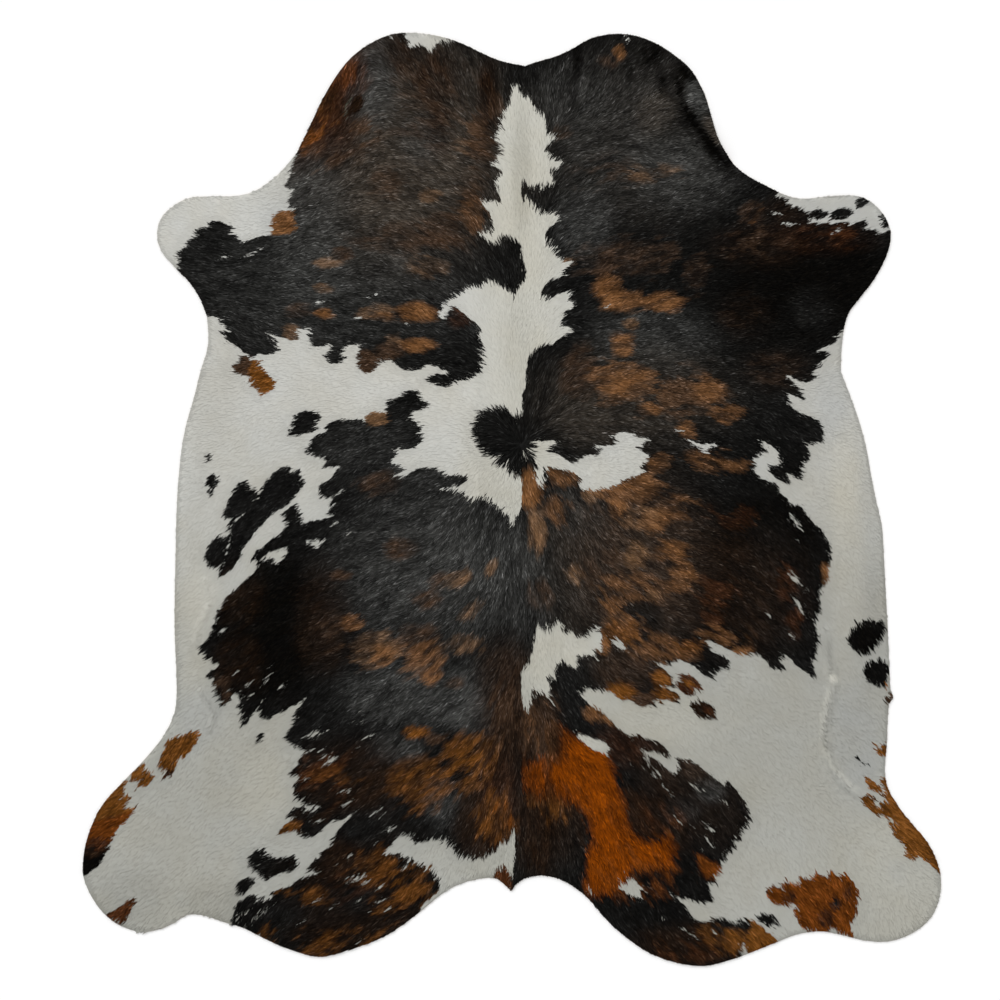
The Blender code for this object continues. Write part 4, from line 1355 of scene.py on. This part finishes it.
@dataclass(frozen=True)
class SkinFinish:
    """The skin between the roots of the hair, a shade duller than the coat over it."""

    roughness: float = 0.85
    specular: float = 0.15
    pore_scale: float = 900.0
    pore_share: float = 0.2
    pore_strength: float = 0.3
    pore_depth: float = 0.3 * MM
    pore_tint: tuple[float, float, float] = (0.55, 0.50, 0.46)

    def material(self) -> bpy.types.Material:
        """The material of the skin's hair side."""
        nodes = Nodes("skin under the hair")
        pores = nodes.noise(nodes.place(), self.pore_scale, detail=2.0)
        # The sockets of a node that mixes colours.
        factor, first, second, mixed = 0, 6, 7, 2
        values = {factor: pores * self.pore_share, first: nodes.coat(), second: (*self.pore_tint, 1.0)}
        dulled = nodes.add("Mix", {"data_type": "RGBA", "blend_type": "MULTIPLY"}, values, mixed)
        return nodes.dress(base_color=dulled, roughness=self.roughness, specular_ior_level=self.specular,
                           normal=nodes.bump(pores, self.pore_strength, self.pore_depth))


@dataclass(frozen=True)
class SuedeFinish:
    """The tanned flesh side: pale buff suede with a short nap, brushed clouds and faint veins."""

    pale: tuple[float, float, float] = (0.50, 0.42, 0.32)
    deep: tuple[float, float, float] = (0.34, 0.27, 0.19)
    # The ramp's place of the deep and of the pale colour.
    ramp: tuple[float, float] = (0.15, 0.85)
    brush_scale: tuple[float, float, float] = (5.0, 16.0, 5.0)
    brush_turn: float = 0.5
    nap_scale: float = 420.0
    nap_share: float = 0.35
    nap_strength: float = 0.5
    nap_depth: float = 0.4 * MM
    cloud_gain: float = 1.3
    cloud_drop: float = 0.15
    roughness: tuple[float, float] = (0.84, 0.96)
    specular: float = 0.2

    def material(self) -> bpy.types.Material:
        """The material of the underside and the cut edge."""
        nodes = Nodes("tanned suede")
        place = nodes.place()
        brushed = nodes.add("Mapping", {}, {"Vector": place, "Scale": self.brush_scale,
                                            "Rotation": (0, 0, self.brush_turn)})
        clouds = nodes.noise(brushed, 1.0, detail=6.0, roughness=0.62)
        nap = nodes.noise(place, self.nap_scale, detail=3.0, roughness=0.7)
        mixed = clouds * self.cloud_gain - self.cloud_drop + (nap - 0.5) * self.nap_share
        stops = tuple(zip(self.ramp, (self.deep, self.pale)))
        smooth, rough = self.roughness
        return nodes.dress(base_color=nodes.add("ValToRGB", {"stops": stops}, {0: mixed}),
                           roughness=nap * (rough - smooth) + smooth, specular_ior_level=self.specular,
                           normal=nodes.bump(nap, self.nap_strength, self.nap_depth))


@dataclass(frozen=True)
class FloorFinish:
    """The plain pale floor of the studio."""

    colour: tuple[float, float, float] = (0.92, 0.92, 0.92)
    roughness: float = 0.9

    def material(self) -> bpy.types.Material:
        """The material of the floor."""
        nodes = Nodes("studio floor")
        return nodes.dress(base_color=(*self.colour, 1.0), roughness=self.roughness, specular_ior_level=0.0)


def placed(name: str, data: bpy.types.ID) -> bpy.types.Object:
    """A new object of this data in the scene, at the origin."""
    piece = bpy.data.objects.new(name, data)
    bpy.context.scene.collection.objects.link(piece)
    return piece


def carry(data: bpy.types.Mesh, colours: np.ndarray) -> None:
    """Gives the mesh's corners the coat's colours, as rows of red, green and blue."""
    opaque = np.ones((len(data.vertices), 4))
    opaque[:, :3] = colours
    data.attributes.new(COAT, "FLOAT_COLOR", "POINT").data.foreach_set("color", opaque.ravel())


@dataclass
class Outline:
    """The hide's rim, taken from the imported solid."""

    node: bpy.types.Object
    # How close two corners are that are one.
    merged: float = 1e-6
    edges: np.ndarray = field(init=False)

    def __post_init__(self) -> None:
        """Reads the rim's edges, as pairs of places on the plan."""
        mesh = self.rim()
        ends = np.array([[corner.co.xy for corner in edge.verts] for edge in mesh.edges])
        mesh.free()
        self.edges = to_plan(ends.reshape(-1, 2)).reshape(-1, 2, 2)

    def rim(self) -> bmesh.types.BMesh:
        """Takes the underside's rim from the solid.

        Returns:
            A loop of edges on the floor.
        """
        mesh = bmesh.new()
        mesh.from_mesh(self.node.data)
        bmesh.ops.remove_doubles(mesh, verts=mesh.verts, dist=self.merged)
        upper = [face for face in mesh.faces if face.normal.z > -LEVEL]
        bmesh.ops.delete(mesh, geom=upper, context="FACES")
        inner = [edge for edge in mesh.edges if not edge.is_boundary]
        bmesh.ops.delete(mesh, geom=list(mesh.faces), context="FACES_ONLY")
        bmesh.ops.delete(mesh, geom=inner, context="EDGES")
        loose = [corner for corner in mesh.verts if not corner.link_edges]
        bmesh.ops.delete(mesh, geom=loose, context="VERTS")
        for corner in mesh.verts:
            corner.co.z = 0.0
        return mesh

    def mask(self) -> Raster:
        """The plan with the hide filled in as 1."""
        raster = Raster()
        raster.fill(self.edges, 1)
        return raster


@dataclass
class Skin:
    """The tanned hide: one closed sheet on the floor, coloured as the coat above and as suede below."""

    outline: Outline
    relief: Relief
    colours: CoatColours
    cell: float = 12.0 * MM
    rim_cuts: int = 2
    # How far the regular cells stay inside the rim, in squares.
    margin: float = 3.0

    def build(self) -> bpy.types.Object:
        """Builds and dresses the sheet.

        Returns:
            The sheet's object, at the origin.
        """
        mesh = self._flat()
        raised = bmesh.ops.extrude_face_region(mesh, geom=list(mesh.faces), use_keep_orig=True)["geom"]
        upper = [corner for corner in raised if isinstance(corner, bmesh.types.BMVert)]
        bmesh.ops.translate(mesh, verts=upper, vec=(0, 0, SKIN_THICKNESS))
        bmesh.ops.recalc_face_normals(mesh, faces=mesh.faces)
        for face in mesh.faces:
            face.smooth = True
            face.material_index = 0 if face.normal.z > LEVEL else 1
        data = bpy.data.meshes.new("skin")
        mesh.to_mesh(data)
        mesh.free()
        places = np.empty(len(data.vertices) * 3)
        data.vertices.foreach_get("co", places)
        places = places.reshape(-1, 3)
        places[:, 2] += self.relief.height(places[:, :2])
        data.vertices.foreach_set("co", places.ravel())
        carry(data, self.colours.at(to_plan(places)))
        data.materials.append(SkinFinish().material())
        data.materials.append(SuedeFinish().material())
        data.update()
        return placed("skin", data)

    def _flat(self) -> bmesh.types.BMesh:
        """Lays the sheet's plan out: square cells in the field, and triangles out to the rim.

        Returns:
            One layer of faces on the floor.
        """
        mesh = self.outline.rim()
        bmesh.ops.subdivide_edges(mesh, edges=list(mesh.edges), cuts=self.rim_cuts)
        rim = list(mesh.edges)
        low, high = np.array(CAD_BOX[0]), np.array(CAD_BOX[1])
        middle, size = (low + high) / 2, high - low
        columns, rows = (math.ceil(side / self.cell) for side in size[:2])
        grid = bmesh.ops.create_grid(mesh, x_segments=columns, y_segments=rows, size=0.5)["verts"]
        bmesh.ops.scale(mesh, verts=grid, vec=(columns * self.cell, rows * self.cell, 1))
        bmesh.ops.translate(mesh, verts=grid, vec=(middle[0], middle[1], 0))
        places = to_plan(np.array([corner.co.xy for corner in grid]))
        within = self.outline.mask().grown(-self.margin).at(places)
        outside = [corner for corner, inside in zip(grid, within) if not inside]
        bmesh.ops.delete(mesh, geom=outside, context="VERTS")
        loose = [corner for corner in mesh.verts if not corner.link_faces and len(corner.link_edges) != 2]
        bmesh.ops.delete(mesh, geom=loose, context="VERTS")
        seam = [edge for edge in mesh.edges if edge.is_boundary]
        bmesh.ops.triangle_fill(mesh, use_beauty=True, edges=rim + seam, normal=(0, 0, 1))
        return mesh


@dataclass
class HairCoat:
    """The coat: short locks that lie along the hide, each rising from its root to its tip.

    Where two numbers stand for what differs from lock to lock, the first is for the dark hair and the second
    for the white, which lies smoother.
    """

    outline: Outline
    relief: Relief
    flow: HairFlow
    colours: CoatColours
    names: Sequence[str] = ("coat_neck", "coat_shoulders", "coat_barrel", "coat_loins", "coat_rump")
    seed: int = 5
    # How far the roots are apart, how far each may move as a share of that, and how far they stay from the
    # rim, in squares.
    pitch: float = 3.0 * MM
    jitter: float = 0.5
    root_margin: float = 0.6
    # Well inside the white, where the hair lies smooth, fewer and wider locks do: how far in from the dark
    # hair, in squares, the share of them that is kept, and how much wider they are.
    inward: float = 6.0
    kept: float = 0.36
    widened: float = 1.85
    length: float = 12.8 * MM
    shortest: float = 0.72
    # The mane along the backbone: how much longer its hair is, its place across and its half width.
    mane: tuple[float, float, float] = (0.55, 521.0, 40.0)
    # The hair of the hind part: how much longer it is, from one place down the plan to another.
    hind: tuple[float, float, float] = (0.30, 560.0, 760.0)
    # How far each lock, and each tuft of them, turns from the way that the hair lies.
    stray: float = math.radians(9)
    drift: float = math.radians(14)
    # How far hair may hang over the rim, in squares, the tufts at the hind legs that hang over further, the
    # shares of a lock's length that are tried until one fits, and the step from each to the next.
    overhang: float = 0.6
    tufts: Sequence[tuple[float, ...]] = (
        (132, 920, 136, 934, 139, 932, 142, 936, 146, 933, 149, 921),
        (158, 916, 161, 930, 165, 929, 167, 931, 170, 927, 173, 915),
        (198, 905, 202, 917, 206, 916, 210, 920, 214, 918, 220, 922, 226, 921, 230, 927, 236, 925, 240, 915,
         220, 908),
    )
    trims: Sequence[float] = (1.0, 0.85, 0.7, 0.55, 0.4, 0.25)
    trim: float = 0.15
    # A lock's shape: its widths, how much they differ, where its middle is, and how far that bends aside.
    root_width: float = 1.4 * MM
    middle_width: float = 1.85 * MM
    width_spread: float = 0.25
    middle_share: float = 0.55
    bend: float = 0.06
    # Its heights above the skin: of its root, of its middle and its tip, the least for those, how much they
    # differ, and between which shares they follow its length.
    root_height: float = 0.1 * MM
    heights: tuple[tuple[float, float], ...] = ((1.7 * MM, 0.8 * MM), (3.0 * MM, 1.2 * MM))
    least_heights: tuple[float, float] = (0.6 * MM, 0.8 * MM)
    height_spread: tuple[float, float] = (0.45 * MM, 0.03 * MM)
    slant: tuple[float, float] = (0.4, 1.3)
    roll: tuple[float, float] = (math.radians(14), math.radians(1.1))
    # Where along a lock most of what shows of it lies.
    seen_share: float = 0.72
    # How bright a colour's mean is in pale hair, and its brightest part in calm hair, and how much less pale
    # the mane counts.
    pale: float = 0.35
    calm: float = 0.34
    mane_less_pale: float = 0.25
    brightness: tuple[float, float] = (0.42, 0.009)
    root_shade: tuple[float, float] = (0.68, 0.98)
    # How much of the root's shade the tip gains in light.
    tip_gain: float = 0.3
    # Painted glints on single dark hairs: their share, how much brighter they are, and the light they add.
    glint_share: float = 0.14
    glint: float = 1.1
    glint_light: float = 0.004
    # Painted shade along the cut rim: how far in, in squares, and how much it darkens the hair.
    rim_depth: float = 1.0
    rim_shade: float = 0.82
    # How much of a lock's length its place on the UV map spans.
    baked_share: float = 0.4

    def build(self) -> list[bpy.types.Object]:
        """Builds the coat in bands from neck to rump.

        Returns:
            The bands' objects, at the origin.
        """
        random = np.random.default_rng(self.seed)
        roots, width = self._roots(random)
        places = to_plan(roots)
        way = self.flow.at(places)
        turn = random.normal(0, self.stray, len(roots))
        turn += self.drift * (2 * Grain(9, seed=41).at(places) - 1)
        cosine, sine = np.cos(turn)[:, None], np.sin(turn)[:, None]
        way = way * cosine + way[:, ::-1] * (-1, 1) * sine
        longer_mane, *mane = self.mane
        longer_hind, *hind = self.hind
        maned = hump(places[:, 0], *mane)
        reach = 1 + longer_mane * maned + longer_hind * ramp(places[:, 1], *hind)
        length = self.length * reach * random.uniform(self.shortest, 2 - self.shortest, len(roots))
        length = self._trimmed(places, way, length)
        colour = self.colours.at(places + way * (self.seen_share * length / SQUARE)[:, None], reach)
        pale = np.clip(colour.mean(axis=1) / self.pale, 0, 1) * (1 - self.mane_less_pale * maned)
        calm = np.clip(colour.max(axis=1) / self.calm, 0, 1)
        # Painted glints on a few dark hairs.
        glints = (random.random(len(roots)) < self.glint_share) * (1 - calm)
        added = self.glint_light * np.minimum(colour / Hair.BLACK.value, 1)
        colour = lit(colour, 1 + self.glint * glints) + glints[:, None] * added
        colour = lit(colour, np.exp(random.normal(0, 1, len(roots)) * self._mixed(self.brightness, calm)))
        # Painted shade on the locks that reach the rim.
        inner = self.outline.mask().grown(-self.rim_depth).at(places + way * (length / SQUARE)[:, None])
        colour *= np.where(inner == 1, 1.0, self.rim_shade)[:, None]
        points = self._points(random, roots, way * (1, -1), length, width, pale)
        finish = CoatFinish().material()
        order = np.argsort(-roots[:, 1], kind="stable")
        return [
            self._band(name, points[part], roots[part], colour[part], pale[part], finish)
            for name, part in zip(self.names, np.array_split(order, len(self.names)))
        ]

    @staticmethod
    def _mixed(pair: tuple[float, float], pale: np.ndarray) -> np.ndarray:
        """A value for each lock, from that of the dark hair to that of the white."""
        return pair[0] + (pair[1] - pair[0]) * pale

    def _roots(self, random: np.random.Generator) -> tuple[np.ndarray, np.ndarray]:
        """Scatters the roots over the hide.

        Args:
            random: The source of what differs from lock to lock.

        Returns:
            The roots' places, in metres, and how wide the lock from each is, as a share of the usual.
        """
        low, high = np.array(CAD_BOX[0][:2]), np.array(CAD_BOX[1][:2])
        across, along = (np.arange(low[axis], high[axis], self.pitch) for axis in (0, 1))
        rows = np.stack(np.meshgrid(across, along), axis=-1)
        rows[1::2, :, 0] += self.pitch / 2
        roots = rows.reshape(-1, 2)
        roots = roots + random.uniform(-self.jitter, self.jitter, roots.shape) * self.pitch
        roots = roots[self.outline.mask().grown(-self.root_margin).at(to_plan(roots)) == 1]
        places = to_plan(roots)
        white = Raster()
        white.values = (self.colours.map.values == self.colours.kinds.index(Hair.WHITE)).astype(np.uint8)
        smooth = white.grown(-self.inward).at(places) == 1
        smooth &= np.abs(places[:, 0] - self.mane[1]) > self.mane[2]
        stays = ~smooth | (random.random(len(roots)) < self.kept)
        return roots[stays], np.where(smooth, self.widened, 1.0)[stays]

    def _trimmed(self, places: np.ndarray, way: np.ndarray, length: np.ndarray) -> np.ndarray:
        """Cuts back the locks that would hang far over the rim.

        Args:
            places: Where the roots are on the plan.
            way: The way that each lock points on the plan.
            length: Each lock's length, in metres.

        Returns:
            The lengths that they keep.
        """
        allowed = self.outline.mask().grown(self.overhang)
        for tuft in self.tufts:
            allowed.fill(closed(tuft), 1)
        trimmed = length.copy()
        for share in self.trims:
            over = allowed.at(places + way * (length * share / SQUARE)[:, None]) == 0
            trimmed = np.where(over, length * max(share - self.trim, self.trim), trimmed)
        return trimmed

    def _points(self, random: np.random.Generator, roots: np.ndarray, way: np.ndarray,
                length: np.ndarray, width: np.ndarray, pale: np.ndarray) -> np.ndarray:
        """The five points of every lock.

        Args:
            random: The source of what differs from lock to lock.
            roots: The roots' places, in metres.
            way: The way that each lock points on the floor.
            length: Each lock's length.
            width: Each lock's width, as a share of the usual.
            pale: How pale each lock is, from 0 to 1.

        Returns:
            Points as rows of right root, left root, right middle, left middle and tip.
        """
        count = len(roots)
        side = np.column_stack((-way[:, 1], way[:, 0]))
        bend = random.uniform(-self.bend, self.bend, count) * length
        middle = roots + way * (self.middle_share * length)[:, None] + side * bend[:, None]
        tip = roots + way * length[:, None]
        spread = random.normal(0, 1, count) * self._mixed(self.height_spread, pale)
        slant = np.clip(length / self.length, *self.slant)
        lifts = [np.full(count, self.root_height)]
        for pair, least in zip(self.heights, self.least_heights):
            lifts.append(np.maximum(self._mixed(pair, pale) * slant + spread, least))
        root, middle, tip = (np.column_stack((spot, SKIN_THICKNESS + self.relief.height(spot) + lift))
                             for spot, lift in zip((roots, middle, tip), lifts))
        roll = random.normal(0, 1, count) * self._mixed(self.roll, pale)
        right, left = (self.relief.height(middle[:, :2] + step * side) for step in (MM, -MM))
        across = np.column_stack((side * np.cos(roll)[:, None], np.sin(roll) + (right - left) / 2 / MM))
        thick = (random.uniform(1 - self.width_spread, 1 + self.width_spread, count) * width)[:, None]
        root_side = across * thick * self.root_width / 2
        middle_side = across * thick * self.middle_width / 2
        return np.stack((root - root_side, root + root_side, middle - middle_side, middle + middle_side, tip),
                        axis=1)

    def _band(self, name: str, points: np.ndarray, roots: np.ndarray, colour: np.ndarray, pale: np.ndarray,
              finish: bpy.types.Material) -> bpy.types.Object:
        """Joins the locks of one band into a mesh: for each a strip of four corners, and a point beyond it.

        Args:
            name: The band's name.
            points: The five points of each lock.
            roots: The roots' places, in metres.
            colour: Each lock's red, green and blue.
            pale: How pale each lock is, from 0 to 1.
            finish: The material of the hair.

        Returns:
            The band's object, at the origin.
        """
        count = len(points)
        strip, point, per_lock = (0, 2, 3, 1), (2, 4, 3), 5
        first = per_lock * np.arange(count)[:, None]
        corners = np.hstack((first + strip, first + point)).ravel()
        starts = (len(strip) + len(point)) * np.arange(count)[:, None] + (0, len(strip))
        data = bpy.data.meshes.new(name)
        data.vertices.add(per_lock * count)
        data.vertices.foreach_set("co", points.ravel())
        data.loops.add(len(corners))
        data.loops.foreach_set("vertex_index", corners)
        data.polygons.add(2 * count)
        data.polygons.foreach_set("loop_start", starts.ravel())
        data.polygons.foreach_set("use_smooth", np.ones(2 * count, dtype=bool))
        root, middle = self._mixed(self.root_shade, pale), np.ones(count)
        shade = np.column_stack((root, root, middle, middle, 1 + self.tip_gain - self.tip_gain * root))
        carry(data, (colour[:, None, :] * shade[:, :, None]).reshape(-1, 3))
        low, high = points.min(axis=(0, 1))[:2], points.max(axis=(0, 1))[:2]
        drawn_in = roots[:, None, :] + self.baked_share * (points[:, :, :2] - roots[:, None, :])
        spots = ((drawn_in - low) / (high - low)).reshape(-1, 2)[corners]
        data.uv_layers.new(name="OFBake").data.foreach_set("uv", spots.ravel())
        data.materials.append(finish)
        data.update(calc_edges=True)
        data.validate()
        return placed(name, data)


@dataclass(frozen=True)
class Studio:
    """The floor, the soft light and the camera straight above."""

    lens: float = 85.0
    film: float = 36.0
    floor_size: float = 120.0
    dome: float = 0.72
    sun: float = 1.70
    sun_spread: float = math.radians(50)
    sun_lean: tuple[float, float] = (math.radians(-38), math.radians(-22))

    def build(self) -> bpy.types.Object:
        """Sets the studio up.

        Returns:
            The floor's object.
        """
        self._camera()
        self._light()
        mesh = bmesh.new()
        bmesh.ops.create_grid(mesh, x_segments=1, y_segments=1, size=self.floor_size / 2)
        data = bpy.data.meshes.new("studio_floor")
        mesh.to_mesh(data)
        mesh.free()
        data.materials.append(FloorFinish().material())
        return placed("studio_floor", data)

    def _camera(self) -> None:
        """Looks straight down on the middle of the plan, so that a square of it is a square of the view."""
        camera = bpy.data.cameras.new("camera")
        camera.lens, camera.sensor_width = self.lens, self.film
        middle = to_floor(np.array((PLAN_SPAN / 2, PLAN_SPAN / 2)))
        view = placed("camera", camera)
        view.location = (*middle, PLAN_SPAN * SQUARE * self.lens / self.film)
        bpy.context.scene.camera = view

    def _light(self) -> None:
        """Even light from all round, and a broad soft key from above the neck's left."""
        scene = bpy.context.scene
        scene.view_settings.view_transform = "Standard"
        world = bpy.data.worlds.new("even light")
        world.use_nodes = True
        sky = world.node_tree.nodes["Background"].inputs
        sky["Color"].default_value, sky["Strength"].default_value = (1.0, 1.0, 1.0, 1.0), self.dome
        scene.world = world
        key = bpy.data.lights.new("key", "SUN")
        key.energy, key.angle = self.sun, self.sun_spread
        placed("key", key).rotation_euler = (*self.sun_lean, 0.0)


def main() -> None:
    """Builds the studio, the skin and the coat, in that order."""
    logging.basicConfig(level=logging.INFO, format="%(name)s: %(message)s")
    Studio().build()
    relief = Relief()
    outline = Outline(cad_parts["hide"])
    flow = HairFlow()
    colours = CoatColours(flow)
    skin = Skin(outline, relief, colours).build()
    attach(skin, "root")
    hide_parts("hide")
    LOG.info("%s: %d faces", skin.name, len(skin.data.polygons))
    bands = HairCoat(outline, relief, flow, colours).build()
    for band in bands:
        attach(band, "root")
        LOG.info("%s: %d locks", band.name, len(band.data.polygons) // 2)


if __name__ == "__main__":
    main()
